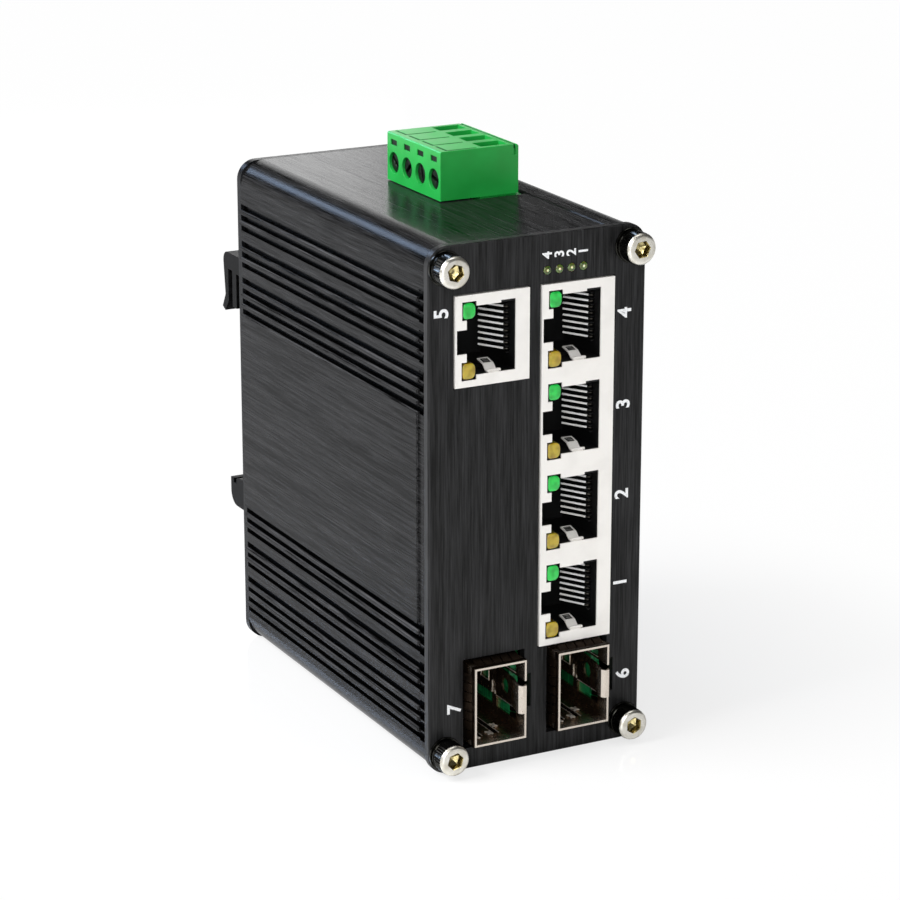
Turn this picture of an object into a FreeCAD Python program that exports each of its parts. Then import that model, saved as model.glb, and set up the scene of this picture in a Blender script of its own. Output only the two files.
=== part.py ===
"""Ethernet switch in an extruded aluminium case for a 35 mm rail: one upright copper port, a gang of
four more, two cages for optical modules, a plug-in power terminal and a rail bracket. Millimetres.

Sections are drawn with u across the case from its left flank, d behind the front face and z up from
the base. export() moves the finished pieces so that the origin is at the middle of the base.
"""
import FreeCAD, Part
import math
import os

V = FreeCAD.Vector

# ---- case ----
WIDTH = 40.5                # across the flanks, without the ribs
HEIGHT = 91.0
DEPTH = 75.0                # front face of the front plate to back face of the rear plate
PLATE = 1.5                 # both end plates
SIDE_WALL = 2.5
ROOF = 2.0                  # top and bottom walls
CASE_CORNER = 4.5           # rounding of the extrusions
PLATE_CORNER = 3.5
PLATE_CHAMFER = 0.25
SEAM = 33.1                 # where the finned shell stops and the side cover starts
SEAM_GAP = 0.12
SEAM_CHAMFER = 0.25

# ---- ribs on both flanks ----
RIB_PROUD = 0.4             # rib tops and middle panel above the flank
GROOVE_DEPTH = 0.7          # below the flank
GROOVE = 1.0
RIB_PITCH = 1.93
BAND_PITCH = 2.9            # groove to groove across a plain band
GROOVE_GROUPS = (3, 3, 4)   # from the top of each zone down
UPPER_ZONE_TOP = 83.3
LOWER_ZONE_TOP = 26.1
RIB_BEVEL = 0.2             # slope of a rib's two sides
RIB_START = 3.5             # ribs and panel stop short of the front plate
GROOVE_END = (3.2, 0.3)     # each groove opens into a pocket behind the plate: its end, extra size

# ---- fixings ----
SCREW_IN_U = 3.0            # screw centres from the flank and from the top or bottom
SCREW_IN_Z = 3.6
SHANK_R = 1.45
TAPPED_R = 1.5
CLEAR_R = 1.7
HEAD_R = 2.75
HEAD_HEIGHT = 3.0
HEX_FLATS = 2.5
HEAD_CHAMFER = 0.3
LOCK_WASHER = 0.6
FLAT_WASHER = 0.4
WASHER_R = 3.0
WASHER_BORE = 1.65
COUNTERSINK = 1.5
BOSS_R = 2.4
ROUND_SIDES = 18            # the small turned parts are many, so they are drawn with flats
BORE_SIDES = 10
STACK = HEAD_HEIGHT + LOCK_WASHER + FLAT_WASHER

# ---- boards ----
BOARD = 1.6
MAIN_FACE = 33.2            # component face of the main board
BOARD_SPACING = 16.0
PORT_FACE = MAIN_FACE - BOARD_SPACING
BOARD_FRONT = 3.6
BOARD_Z = (ROOF, 88.6)      # the boards stand on the bottom wall
GUIDE_HEIGHT = 2.2
GUIDE = 1.1
GUIDE_START = 4.2           # milled back behind the front plate to clear the cage collars

# ---- copper ports: a across from the port's left edge, t down from its top edge ----
PORT_WIDTH = 13.7
PORT_HEIGHT = 15.4
PORT_PITCH = 15.8
PORT_ABOVE_BOARD = 12.4
PORT_BODY = 17.7            # depth of the housing
PORT_TOP = 82.5
PORT_PROUD = 0.3
PORT_LIP = 3.1              # depth of the lip that hangs over the board's edge
SHEET = 0.25
CAVITY_DEPTH = 12.0
CONTACT_PITCH = 1.02
CONTACT_WIDTH = 0.45
CONTACT_MIDDLE = 7.1        # middle of the row, from the port's top edge
CONTACTS = 8
LAMP_GAP = 0.12
LAMP_CORNER = 0.45
LAMP_LENGTH = 8.05
GREEN_POCKET = (1.25, 3.9, 1.1, 4.2)
AMBER_POCKET = (1.15, 3.9, 11.2, 14.3)
PLUG_OPENING = (3.85, 11.1, 1.9, 13.5)
LATCH_STEP = (2.1, 3.9, 4.2, 11.2)
LATCH_NOTCH = (0.3, 2.2, 5.75, 9.8)
STRAIN_STEP = (8.4, 11.1, 1.5, 2.0)

# ---- module cages ----
CAGE_WIDTH = 9.8
CAGE_HEIGHT = 14.0
CAGE_BASE = 4.7
CAGE_PROUD = 2.5
CAGE_BACK = 46.0
CAGE_SHEET = 0.35
COLLAR_SHEET = 0.12
COLLAR_BULGE = 0.85
FINGER_PITCH = 1.7
FINGER = 1.3
CAGE_MARGIN = 0.95          # panel opening round the cage
TONGUE = 5.0                # latch tongue: width, middle above the cage's lower side, hole
TONGUE_MIDDLE = 7.5
TONGUE_HOLE_R = 1.4

# ---- status lamps ----
LAMP_COUNT = 4
LAMP_FIRST_U = 21.9
LAMP_PITCH = 2.25
LAMP_Z = 84.85
LAMP_R = 0.75

# ---- power terminal ----
POLES = 4
POLE_PITCH = 5.0
TERMINAL_D = 28.0           # front side of the plug
TERMINAL_LENGTH = 20.0
TERMINAL_U = 16.75
TERMINAL_WIDTH = 15.0
TERMINAL_ABOVE = 8.65
TERMINAL_CLEAR = 0.15       # plug body above the case top
NOSE = (24.7, 31.7, 28.8, 47.2)
NOSE_DROP = 9.6
HEADER = (23.2, 32.7, 27.6, 48.4)
HEADER_DROP = 12.8
HEADER_FLOOR = 2.7
HEADER_TOP = 0.3            # header rim below the case top
SLOT_IN_ROOF = (22.9, 27.3, 48.7)
PIN = 1.0
PIN_U = 28.2
SCREW_HOLE_R = 1.85         # access hole and clamp screw
SCREW_SHANK_R = 1.25

# ---- rail bracket: y is measured behind the rear plate ----
RAIL = 35.0
RAIL_BASE = 1.8
RAIL_SEAT = 5.4             # plane that the rail's flange bears on
HOOK_SLOT = 1.8
HOOK_WALL = 1.4
HOOK_REACH = 10.0
BRACKET_Z = (24.1, 72.4)
BRACKET_U = (1.0, 39.5)
RAIL_BOTTOM = 28.4
SLOT_TOP = 69.3
SPRING_WIRE = 1.2
SPRING_HALF = 13.0
SPRING_END_Z = 65.9
SPRING_MID_Z = 63.6
BRACKET_SCREWS = ((20.25, 37.0), (20.25, 56.0))

TOTAL_DEPTH = STACK + DEPTH + HOOK_REACH
TO_FRAME = V(-WIDTH / 2, STACK - TOTAL_DEPTH / 2, 0)


# ---- drawing helpers ----
def block(u, d, z):
    """Box from three (low, high) pairs."""
    return Part.makeBox(u[1] - u[0], d[1] - d[0], z[1] - z[0], V(u[0], d[0], z[0]))


def along_depth(d):
    """Places a (u, z) outline at depth d."""
    return lambda p, q: V(p, d, q)


def along_width(u):
    """Places a (d, z) outline at width u."""
    return lambda p, q: V(u, p, q)


def along_height(z):
    """Places a (u, d) outline at height z."""
    return lambda p, q: V(p, q, z)


def outline(points, place, radii=None):
    """Closed wire through the points. A corner with a radius is an arc tangent to its two sides."""
    radii = radii or [0.0] * len(points)
    corners = [place(p, q) for p, q in points]
    edges = []
    ends = []
    for i, corner in enumerate(corners):
        if radii[i] == 0:
            ends.append((corner, corner))
            continue
        back = (corners[i - 1] - corner).normalize()
        ahead = (corners[(i + 1) % len(corners)] - corner).normalize()
        half = back.getAngle(ahead) / 2
        reach = radii[i] / math.tan(half)
        bisector = (back + ahead).normalize()
        middle = corner + bisector * (radii[i] / math.sin(half) - radii[i])
        start = corner + back * reach
        end = corner + ahead * reach
        edges.append((i, Part.Arc(start, middle, end).toShape()))
        ends.append((start, end))
    path = []
    arcs = dict(edges)
    for i in range(len(corners)):
        if i in arcs:
            path.append(arcs[i])
        start = ends[i][1]
        end = ends[(i + 1) % len(corners)][0]
        if (end - start).Length > 1e-6:
            path.append(Part.makeLine(start, end))
    return Part.Wire(path)


def prism(points, place, sweep, radii=None):
    """Outline carried along the vector sweep."""
    return Part.Face(outline(points, place, radii)).extrude(sweep)


def ring(p, q, radius, sides):
    """Corners of a regular polygon about (p, q)."""
    turns = [math.tau * k / sides for k in range(sides)]
    return [(p + radius * math.cos(t), q + radius * math.sin(t)) for t in turns]


def turned(u, z, d0, d1, radius, sides=ROUND_SIDES):
    """Round part or bore along the depth, with flats."""
    return prism(ring(u, z, radius, sides), along_depth(d0), V(0, d1 - d0, 0))


def tapered(u, z, d0, d1, radius, end_radius):
    """Cone along the depth, with flats."""
    first = [V(p, d0, q) for p, q in ring(u, z, radius, ROUND_SIDES)]
    last = [V(p, d1, q) for p, q in ring(u, z, end_radius, ROUND_SIDES)]
    loops = [first, last[::-1]]
    loops += [[first[k - 1], last[k - 1], last[k], first[k]] for k in range(ROUND_SIDES)]
    faces = [Part.Face(Part.makePolygon(loop + loop[:1])) for loop in loops]
    cone = Part.Solid(Part.Shell(faces))
    if cone.Volume < 0:
        cone.reverse()
    return cone


def strip(centreline, thickness):
    """Outline of a bent strip: the centreline offset to both sides, with mitred corners."""
    left = []
    right = []
    last = len(centreline) - 1
    for i, (p, q) in enumerate(centreline):
        before = centreline[max(i - 1, 0)]
        after = centreline[min(i + 1, last)]
        here = centreline[i]
        first = V(here[0] - before[0], here[1] - before[1], 0) if i else None
        second = V(after[0] - here[0], after[1] - here[1], 0) if i < last else None
        first = (first or second).normalize()
        second = (second or V(first)).normalize()
        normal = V(-first.y - second.y, first.x + second.x, 0).normalize()
        width = thickness / 2 / normal.dot(V(-first.y, first.x, 0))
        left.append((p + normal.x * width, q + normal.y * width))
        right.append((p - normal.x * width, q - normal.y * width))
    return left + right[::-1]


def fuse(shapes):
    """One clean shape from overlapping ones."""
    shapes = list(shapes)
    whole = shapes[0].multiFuse(shapes[1:]) if len(shapes) > 1 else shapes[0]
    return whole.removeSplitter()


def group(shapes):
    """Separate solids that belong to one node."""
    return Part.makeCompound(list(shapes))


def mirrored(shape):
    """The same shape on the other flank."""
    return shape.mirror(V(WIDTH / 2, 0, 0), V(1, 0, 0))


def export(name, shape):
    """Moves a piece into the frame and writes it."""
    placed = shape.copy()
    placed.translate(TO_FRAME)
    if not placed.isValid():
        raise ValueError(name + " is not a valid shape")
    placed.exportStep("parts/" + name + ".step")
    print(name, len(placed.Solids), "solids", round(placed.Volume, 1), "mm3")


def screw_centres():
    """The four case screws as (u, z)."""
    sides = (SCREW_IN_U, WIDTH - SCREW_IN_U)
    levels = (SCREW_IN_Z, HEIGHT - SCREW_IN_Z)
    return [(u, z) for u in sides for z in levels]


def hex_socket(u, z, d0, d1):
    """Hexagonal socket in a screw head."""
    return turned(u, z, d0, d1, HEX_FLATS / math.sqrt(3), 6)


def cross_recess(u, z, d0, depth):
    """Cross recess in a countersunk head whose face is at d0, cut towards the front."""
    arms = [(1.4, 0.3), (0.3, 1.4)]
    return fuse(block((u - a, u + a), (d0 - depth, d0), (z - b, z + b)) for a, b in arms)


# ---- case ----
def groove_tops(zone_top):
    """Upper edges of the grooves of one zone, group by group from the top down."""
    groups = []
    z = zone_top
    for count in GROOVE_GROUPS:
        groups.append([z - k * RIB_PITCH for k in range(count)])
        z = groups[-1][-1] - BAND_PITCH
    return groups


def rib_pads():
    """What stands proud of the left flank: the ribs between grooves and the middle panel."""
    zones = [groove_tops(UPPER_ZONE_TOP), groove_tops(LOWER_ZONE_TOP)]
    pads = []
    for zone in zones:
        for tops in zone:
            pads += [(lower, upper - GROOVE) for upper, lower in zip(tops, tops[1:])]
    panel_top = zones[0][-1][-1] - GROOVE
    pads.append((LOWER_ZONE_TOP, panel_top))
    return [rib_pad(low, high) for low, high in pads]


def rib_pad(low, high):
    """One rib or panel with sloped sides, from RIB_START to the rear plate."""
    points = [(-RIB_PROUD, low + RIB_BEVEL), (0, low), (0.5, low), (0.5, high), (0, high),
              (-RIB_PROUD, high - RIB_BEVEL)]
    return prism(points, along_depth(RIB_START), V(0, DEPTH - PLATE - RIB_START, 0))


def flank_cuts():
    """Grooves along the left flank, each with a wider pocket at its front end."""
    pocket_end, extra = GROOVE_END
    cuts = []
    for zone_top in (UPPER_ZONE_TOP, LOWER_ZONE_TOP):
        for top in [top for tops in groove_tops(zone_top) for top in tops]:
            cuts.append(block((-1, GROOVE_DEPTH), (0, DEPTH), (top - GROOVE, top)))
            cuts.append(block((-1, GROOVE_DEPTH + extra), (0, pocket_end), (top - GROOVE - extra, top + extra)))
    return cuts


def wall_section(u_open, corner_side):
    """Channel section from its open edge at u_open round the flank at corner_side."""
    inner_flank = SIDE_WALL if corner_side == 0 else WIDTH - SIDE_WALL
    step = SEAM_CHAMFER if corner_side == 0 else -SEAM_CHAMFER
    points = [
        (u_open, SEAM_CHAMFER), (u_open - step, 0), (corner_side, 0), (corner_side, HEIGHT),
        (u_open - step, HEIGHT), (u_open, HEIGHT - SEAM_CHAMFER), (u_open, HEIGHT - ROOF),
        (inner_flank, HEIGHT - ROOF), (inner_flank, ROOF), (u_open, ROOF),
    ]
    radii = [0, 0, CASE_CORNER, CASE_CORNER, 0, 0, 0, 0, 0, 0]
    return prism(points, along_depth(PLATE), V(0, DEPTH - 2 * PLATE, 0), radii)


def guide_ribs(edges):
    """Ribs on the top and bottom walls that hold the edges of a board."""
    depth = (GUIDE_START, DEPTH - PLATE)
    low = (ROOF - 0.5, ROOF + GUIDE_HEIGHT)
    high = (HEIGHT - ROOF - GUIDE_HEIGHT, HEIGHT - ROOF + 0.5)
    return [block(u, depth, z) for u in edges for z in (low, high)]


def screw_channels(u):
    """Round channels for the case screws, as (bosses, holes)."""
    levels = (SCREW_IN_Z, HEIGHT - SCREW_IN_Z)
    bosses = [turned(u, z, PLATE, DEPTH - PLATE, BOSS_R, BORE_SIDES) for z in levels]
    holes = [turned(u, z, PLATE, DEPTH - PLATE, TAPPED_R, BORE_SIDES) for z in levels]
    return bosses, holes


def finned_shell():
    """Left channel with the ribbed flank, the guides of the port board and the terminal opening."""
    bosses, holes = screw_channels(SCREW_IN_U)
    port_guides = [
        (PORT_FACE - GUIDE - 0.1, PORT_FACE - 0.1),
        (PORT_FACE + BOARD + 0.1, PORT_FACE + BOARD + 0.1 + GUIDE),
    ]
    guides = guide_ribs(port_guides + [(SEAM - GUIDE, SEAM)])
    shell = fuse([wall_section(SEAM, 0)] + bosses + guides + rib_pads())
    u0, d0, d1 = SLOT_IN_ROOF
    opening = block((u0, SEAM + 1), (d0, d1), (HEIGHT - 5, HEIGHT + 1))
    return shell.cut(group(holes + flank_cuts() + [opening]))


def side_cover():
    """Right channel that closes the shell and clamps the main board."""
    bosses, holes = screw_channels(WIDTH - SCREW_IN_U)
    cheek = (MAIN_FACE + BOARD + 0.1, MAIN_FACE + BOARD + 0.1 + GUIDE)
    pads = [mirrored(pad) for pad in rib_pads()]
    cover = fuse([wall_section(SEAM + SEAM_GAP, WIDTH)] + bosses + guide_ribs([cheek]) + pads)
    return cover.cut(group(holes + [mirrored(cut) for cut in flank_cuts()]))


def plate_blank(d0):
    """Rounded end plate whose front face is at d0."""
    points = [(0, 0), (WIDTH, 0), (WIDTH, HEIGHT), (0, HEIGHT)]
    return prism(points, along_depth(d0), V(0, PLATE, 0), [PLATE_CORNER] * 4)


def port_cutout(left, ports):
    """Panel opening of a port or gang."""
    bottom = PORT_TOP - PORT_HEIGHT - (ports - 1) * PORT_PITCH
    margin = 0.2
    return block((left - margin, left + PORT_WIDTH + margin), (-1, PLATE + 1),
                 (bottom - margin, PORT_TOP + margin))


def cage_cutout(left):
    """Panel opening of a module cage, with a notch for its tongue."""
    right = left + CAGE_WIDTH + CAGE_MARGIN
    z = (CAGE_BASE - CAGE_MARGIN, CAGE_BASE + CAGE_HEIGHT + CAGE_MARGIN + 0.1)
    middle = CAGE_BASE + TONGUE_MIDDLE
    notch = block((right - 0.5, right + 1.25), (-1, PLATE + 1), (middle - 3.0, middle + 3.0))
    return fuse([block((left - CAGE_MARGIN, right), (-1, PLATE + 1), z), notch])


def front_plate():
    """Front plate, chamfered round its face, with the openings of the ports, cages, lamps and screws."""
    blank = plate_blank(0)
    rim = [edge for edge in blank.Edges if all(abs(v.Y) < 1e-6 for v in edge.Vertexes)]
    cuts = [port_cutout(gang_left(), 4), port_cutout(single_left(), 1)]
    cuts += [cage_cutout(left) for left in cage_lefts()]
    cuts += [turned(u, LAMP_Z, -1, PLATE + 1, LAMP_R + 0.06, BORE_SIDES) for u in lamp_centres()]
    cuts += [turned(u, z, -1, PLATE + 1, CLEAR_R, BORE_SIDES) for u, z in screw_centres()]
    return blank.makeChamfer(PLATE_CHAMFER, rim).cut(fuse(cuts))


def countersink(u, z, face):
    """Seat of a countersunk head that is flush with a face looking to the back."""
    return tapered(u, z, face - COUNTERSINK, face, CLEAR_R, HEAD_R)


def rear_plate():
    """Rear plate with countersunk case screws and the tapped holes of the rail bracket."""
    cuts = [countersink(u, z, DEPTH) for u, z in screw_centres()]
    cuts += [turned(u, z, DEPTH - 3, DEPTH + 1, CLEAR_R, BORE_SIDES) for u, z in BRACKET_SCREWS]
    return plate_blank(DEPTH - PLATE).cut(group(cuts))


# ---- fixings ----
def cap_screw(u, z):
    """Socket head cap screw through the front plate."""
    face = -STACK
    seat = face + HEAD_HEIGHT
    screw = fuse([
        tapered(u, z, face, face + HEAD_CHAMFER, HEAD_R - HEAD_CHAMFER, HEAD_R),
        turned(u, z, face + HEAD_CHAMFER, seat, HEAD_R),
        turned(u, z, seat, 9, SHANK_R, BORE_SIDES),
    ])
    return screw.cut(hex_socket(u, z, face - 1, face + 1.5))


def lock_washer(u, z):
    """Split spring washer under the head."""
    d0 = -STACK + HEAD_HEIGHT
    d1 = d0 + LOCK_WASHER
    washer = turned(u, z, d0, d1, HEAD_R).cut(turned(u, z, d0, d1, WASHER_BORE, BORE_SIDES))
    slit = [(d0, z - 0.5), (d0, z), (d1, z + 0.5), (d1, z)]
    return washer.cut(prism(slit, along_width(u - 4), V(4, 0, 0)))


def flat_washer(u, z):
    """Plain washer on the front plate."""
    hole = turned(u, z, -FLAT_WASHER, 0, WASHER_BORE, BORE_SIDES)
    return turned(u, z, -FLAT_WASHER, 0, WASHER_R).cut(hole)


def countersunk_screw(u, z, face, length):
    """Countersunk cross-recess screw, its head flush with a face that looks to the back."""
    shank = turned(u, z, face - length, face - COUNTERSINK + 0.1, SHANK_R, BORE_SIDES)
    head = countersink(u, z, face)
    return fuse([head, shank]).cut(cross_recess(u, z, face, 0.9))


# ---- copper ports ----
def gang_left():
    """Left edge of the gang of four."""
    return MAIN_FACE - PORT_ABOVE_BOARD


def single_left():
    """Left edge of the single port."""
    return PORT_FACE - PORT_ABOVE_BOARD


def port_block(left, top, a, d, t):
    """Box in a port's own coordinates."""
    return block((left + a[0], left + a[1]), d, (top - t[1], top - t[0]))


def port_tops(ports):
    """Top edges of the ports of a gang, from the top down."""
    return [PORT_TOP - k * PORT_PITCH for k in range(ports)]


def port_case(left, ports, inset, front):
    """Outer form of a port or gang: a lip over the board's edge and a body on the board."""
    height = PORT_HEIGHT + (ports - 1) * PORT_PITCH
    t = (inset, height - inset)
    lip = port_block(left, PORT_TOP, (inset, PORT_WIDTH - inset), (front, PORT_LIP - inset), t)
    body = port_block(left, PORT_TOP, (inset, PORT_ABOVE_BOARD), (front, PORT_BODY - inset), t)
    return fuse([lip, body])


def port_windows(left, top, d, with_pockets):
    """The openings of one port between two depths."""
    names = [PLUG_OPENING, LATCH_STEP, LATCH_NOTCH]
    if with_pockets:
        names += [GREEN_POCKET, AMBER_POCKET, STRAIN_STEP]
    return fuse(port_block(left, top, n[:2], d, n[2:]) for n in names)


def ground_tab(left, top):
    """Spring tab of the shield, folded in from the lower side of a port's opening."""
    level = top - PLUG_OPENING[3]
    path = [(-PORT_PROUD + 0.1, level), (0.9, level + 0.2), (1.9, level + 1.0), (3.8, level + 1.4)]
    return prism(strip(path, 0.2), along_width(left + 6.1), V(2.0, 0, 0))


def port_shield(left, ports):
    """Folded steel shield, open towards the board."""
    shell = port_case(left, ports, 0, -PORT_PROUD)
    height = PORT_HEIGHT + (ports - 1) * PORT_PITCH
    t = (SHEET, height - SHEET)
    front = SHEET - PORT_PROUD
    lip = port_block(left, PORT_TOP, (SHEET, PORT_WIDTH - SHEET), (front, PORT_LIP - SHEET), t)
    body = port_block(left, PORT_TOP, (SHEET, PORT_WIDTH + 1), (PORT_LIP, PORT_BODY - SHEET), t)
    neck = port_block(left, PORT_TOP, (SHEET, PORT_ABOVE_BOARD), (front, PORT_LIP + 1), t)
    windows = [port_windows(left, top, (-1, front + 0.01), True) for top in port_tops(ports)]
    shield = shell.cut(fuse([lip, body, neck])).cut(group(windows))
    return fuse([shield] + [ground_tab(left, top) for top in port_tops(ports)])


def contact_levels(top):
    """Heights of the eight contacts of a port."""
    middle = top - CONTACT_MIDDLE
    return [middle + (k - (CONTACTS - 1) / 2) * CONTACT_PITCH for k in range(CONTACTS)]


def port_housing(left, ports):
    """Black moulded housing: plug cavities, lamp pockets and the recess that the contacts lie in."""
    body = port_case(left, ports, SHEET + 0.03, SHEET + 0.02 - PORT_PROUD)
    cuts = []
    for top in port_tops(ports):
        cuts.append(port_windows(left, top, (-1, CAVITY_DEPTH), False))
        cuts.append(port_block(left, top, GREEN_POCKET[:2], (-1, LAMP_LENGTH), GREEN_POCKET[2:]))
        cuts.append(port_block(left, top, AMBER_POCKET[:2], (-1, LAMP_LENGTH), AMBER_POCKET[2:]))
        cuts.append(port_block(left, top, (6.0, 8.2), (-1, 5.0), (13.0, 14.1)))
        row = contact_levels(top)
        cuts.append(block((left + 10.6, left + 11.45), (1.9, CAVITY_DEPTH), (row[0] - 0.35, row[-1] + 0.35)))
    return body.cut(fuse(cuts))


def port_contacts(left, ports):
    """Bent spring contacts: they come forward along the wall and lean back into the cavity."""
    path = [(6.9, left + 8.35), (2.6, left + 10.9), (2.75, left + 11.3), (CAVITY_DEPTH, left + 11.3)]
    points = [(a, d) for d, a in strip(path, 0.3)]
    sweep = V(0, 0, CONTACT_WIDTH)
    levels = [z for top in port_tops(ports) for z in contact_levels(top)]
    return [prism(points, along_height(z - CONTACT_WIDTH / 2), sweep) for z in levels]


def lamp_block(left, top, pocket):
    """Square light guide with cut corners in a corner of a port."""
    a0, a1, t0, t1 = pocket
    u0, u1 = left + a0 + LAMP_GAP, left + a1 - LAMP_GAP
    z0, z1 = top - t1 + LAMP_GAP, top - t0 - LAMP_GAP
    c = LAMP_CORNER
    points = [(u0 + c, z0), (u1 - c, z0), (u1, z0 + c), (u1, z1 - c),
              (u1 - c, z1), (u0 + c, z1), (u0, z1 - c), (u0, z0 + c)]
    front = -PORT_PROUD - 0.05
    return prism(points, along_depth(front), V(0, LAMP_LENGTH - front, 0))


def port_lamps(pocket):
    """The lamps of one colour, one for each of the five ports."""
    places = [(single_left(), PORT_TOP)] + [(gang_left(), top) for top in port_tops(4)]
    return group(lamp_block(left, top, pocket) for left, top in places)


# ---- module cages ----
def cage_lefts():
    """Left edges of the two cages."""
    return [face - CAGE_WIDTH for face in (PORT_FACE, MAIN_FACE)]


def cage_block(left, a, d, t):
    """Box in a cage's own coordinates, t up from its lower side."""
    return block((left + a[0], left + a[1]), d, (CAGE_BASE + t[0], CAGE_BASE + t[1]))


def cage_tongue(left):
    """Latch tongue with the hole for a module's catch: leans in and ends in a rolled lip over the rim."""
    path = [(9.0, 9.62), (0.0, 8.75), (-2.3, 8.1), (-3.2, 8.0), (-3.7, 8.4), (-3.65, 9.0), (-3.1, 9.25)]
    points = [(left + p, d) for d, p in strip(path, 0.3)]
    middle = CAGE_BASE + TONGUE_MIDDLE
    tongue = prism(points, along_height(middle - TONGUE / 2), V(0, 0, TONGUE))
    hole = prism(ring(3.4, middle, TONGUE_HOLE_R, 8), along_width(left + 7), V(5, 0, 0))
    return tongue.cut(hole)


def module_cage(left):
    """Folded cage, open to the front, with its tongue, side windows and the opening for its socket."""
    skin = CAGE_SHEET
    outer = cage_block(left, (0, CAGE_WIDTH), (-CAGE_PROUD, CAGE_BACK), (0, CAGE_HEIGHT))
    inner = cage_block(left, (skin, CAGE_WIDTH - skin), (-CAGE_PROUD, CAGE_BACK - skin),
                       (skin, CAGE_HEIGHT - skin))
    wall = (CAGE_WIDTH - skin - 0.1, CAGE_WIDTH + 1)
    far_wall = (-1, skin + 0.1)
    slot = (TONGUE_MIDDLE - TONGUE / 2 - 0.3, TONGUE_MIDDLE + TONGUE / 2 + 0.3)
    windows = [
        (wall, (-CAGE_PROUD, 8.6), slot),
        (wall, (0.6, 9.5), (10.8, 12.8)), (wall, (11.0, 20.0), (10.8, 12.8)),
        (wall, (0.6, 7.5), (2.2, 4.2)), (wall, (9.0, 17.0), (2.2, 4.2)),
        (wall, (10.2, 13.0), (6.2, 8.8)),
        (wall, (35.5, CAGE_BACK - skin), (0.8, CAGE_HEIGHT - 0.8)),
        (far_wall, (12.0, 14.0), (5.6, 8.4)), (far_wall, (30.0, 32.0), (5.6, 8.4)),
        ((2.2, 3.1), (1.0, 13.0), far_wall), ((5.4, 6.3), (1.0, 13.0), far_wall),
    ]
    cuts = [inner] + [cage_block(left, a, d, t) for a, d, t in windows]
    return fuse([outer.cut(fuse(cuts)), cage_tongue(left)])


def collar_finger(left, side, centre):
    """One spring finger, bowed out from the cage wall on the named side."""
    base = COLLAR_SHEET / 2
    bow = COLLAR_BULGE - base
    path = [(-1.6, base), (0.3, bow), (3.4, base)]
    points = strip(path, COLLAR_SHEET)
    right = left + CAGE_WIDTH
    top = CAGE_BASE + CAGE_HEIGHT
    across = centre - FINGER / 2
    places = {
        "left": (lambda d, h: V(left - h, d, across), V(0, 0, FINGER)),
        "right": (lambda d, h: V(right + h, d, across), V(0, 0, FINGER)),
        "top": (lambda d, h: V(across, d, top + h), V(FINGER, 0, 0)),
        "bottom": (lambda d, h: V(across, d, CAGE_BASE - h), V(FINGER, 0, 0)),
    }
    place, sweep = places[side]
    return prism(points, place, sweep)


def finger_centres(low, length):
    """Even places for the fingers along one side."""
    count = int((length - 0.4) // FINGER_PITCH)
    first = low + length / 2 - (count - 1) / 2 * FINGER_PITCH
    return [first + k * FINGER_PITCH for k in range(count)]


def spring_collar(left):
    """Ring of spring fingers that grounds a cage to the panel."""
    skin = COLLAR_SHEET
    outer = cage_block(left, (-skin, CAGE_WIDTH + skin), (-2.3, -1.4), (-skin, CAGE_HEIGHT + skin))
    hole = cage_block(left, (0, CAGE_WIDTH), (-3, 0), (0, CAGE_HEIGHT))
    middle = TONGUE_MIDDLE
    tongue = cage_block(left, (CAGE_WIDTH - 1, CAGE_WIDTH + 1), (-3, 4),
                        (middle - TONGUE / 2 - 0.3, middle + TONGUE / 2 + 0.3))
    tall = finger_centres(CAGE_BASE, CAGE_HEIGHT)
    wide = finger_centres(left, CAGE_WIDTH)
    clear = TONGUE / 2 + FINGER
    beside = [z for z in tall if abs(z - CAGE_BASE - middle) > clear]
    fingers = [collar_finger(left, "left", z) for z in tall]
    fingers += [collar_finger(left, "right", z) for z in beside]
    fingers += [collar_finger(left, side, u) for side in ("top", "bottom") for u in wide]
    return fuse([outer.cut(hole).cut(tongue)] + fingers)


def cage_socket(face):
    """Edge connector on the board inside the back of a cage."""
    middle = CAGE_BASE + CAGE_HEIGHT / 2
    body = block((face - 5.4, face), (36.2, 44.8), (middle - 5.9, middle + 5.9))
    slot = block((face - 3.7, face - 2.2), (35, 42), (middle - 5.2, middle + 5.2))
    ramp = [(36.2, face - 4.2), (37.2, face - 3.7), (37.2, face - 2.2), (36.2, face - 1.7)]
    mouth = prism([(u, d) for d, u in ramp], along_height(middle - 5.4), V(0, 0, 10.8))
    return body.cut(fuse([slot, mouth]))


# ---- boards and what they carry ----
def main_board():
    """Upright board that carries the gang, the right cage and the power input."""
    return block((MAIN_FACE, MAIN_FACE + BOARD), (BOARD_FRONT, 72.0), BOARD_Z)


def port_board():
    """Second board for the single port and the left cage, cut away below the power terminal."""
    u = (PORT_FACE, PORT_FACE + BOARD)
    upper = block(u, (BOARD_FRONT, 24.0), BOARD_Z)
    lower = block(u, (BOARD_FRONT, 66.0), (BOARD_Z[0], 58.0))
    return fuse([upper, lower])


def board_link():
    """Stacking connector between the two boards."""
    return block((PORT_FACE + BOARD, MAIN_FACE), (52.0, 57.0), (28.0, 54.0))


def lamp_centres():
    """Widths of the four status lamps."""
    return [LAMP_FIRST_U + k * LAMP_PITCH for k in range(LAMP_COUNT)]


def status_lamps():
    """Round light guides that show through the front plate."""
    return group(turned(u, LAMP_Z, -0.15, PLATE + 0.2, LAMP_R, BORE_SIDES) for u in lamp_centres())


def lamp_holder():
    """Black holder behind the front plate that carries the status lamps on the main board."""
    arm = block((LAMP_FIRST_U - 1.3, MAIN_FACE), (PLATE + 0.2, 8.0), (LAMP_Z - 1.3, LAMP_Z + 1.3))
    notch = block((MAIN_FACE - 0.3, MAIN_FACE + 1), (0, BOARD_FRONT), (80, 90))
    return arm.cut(notch)


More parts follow.
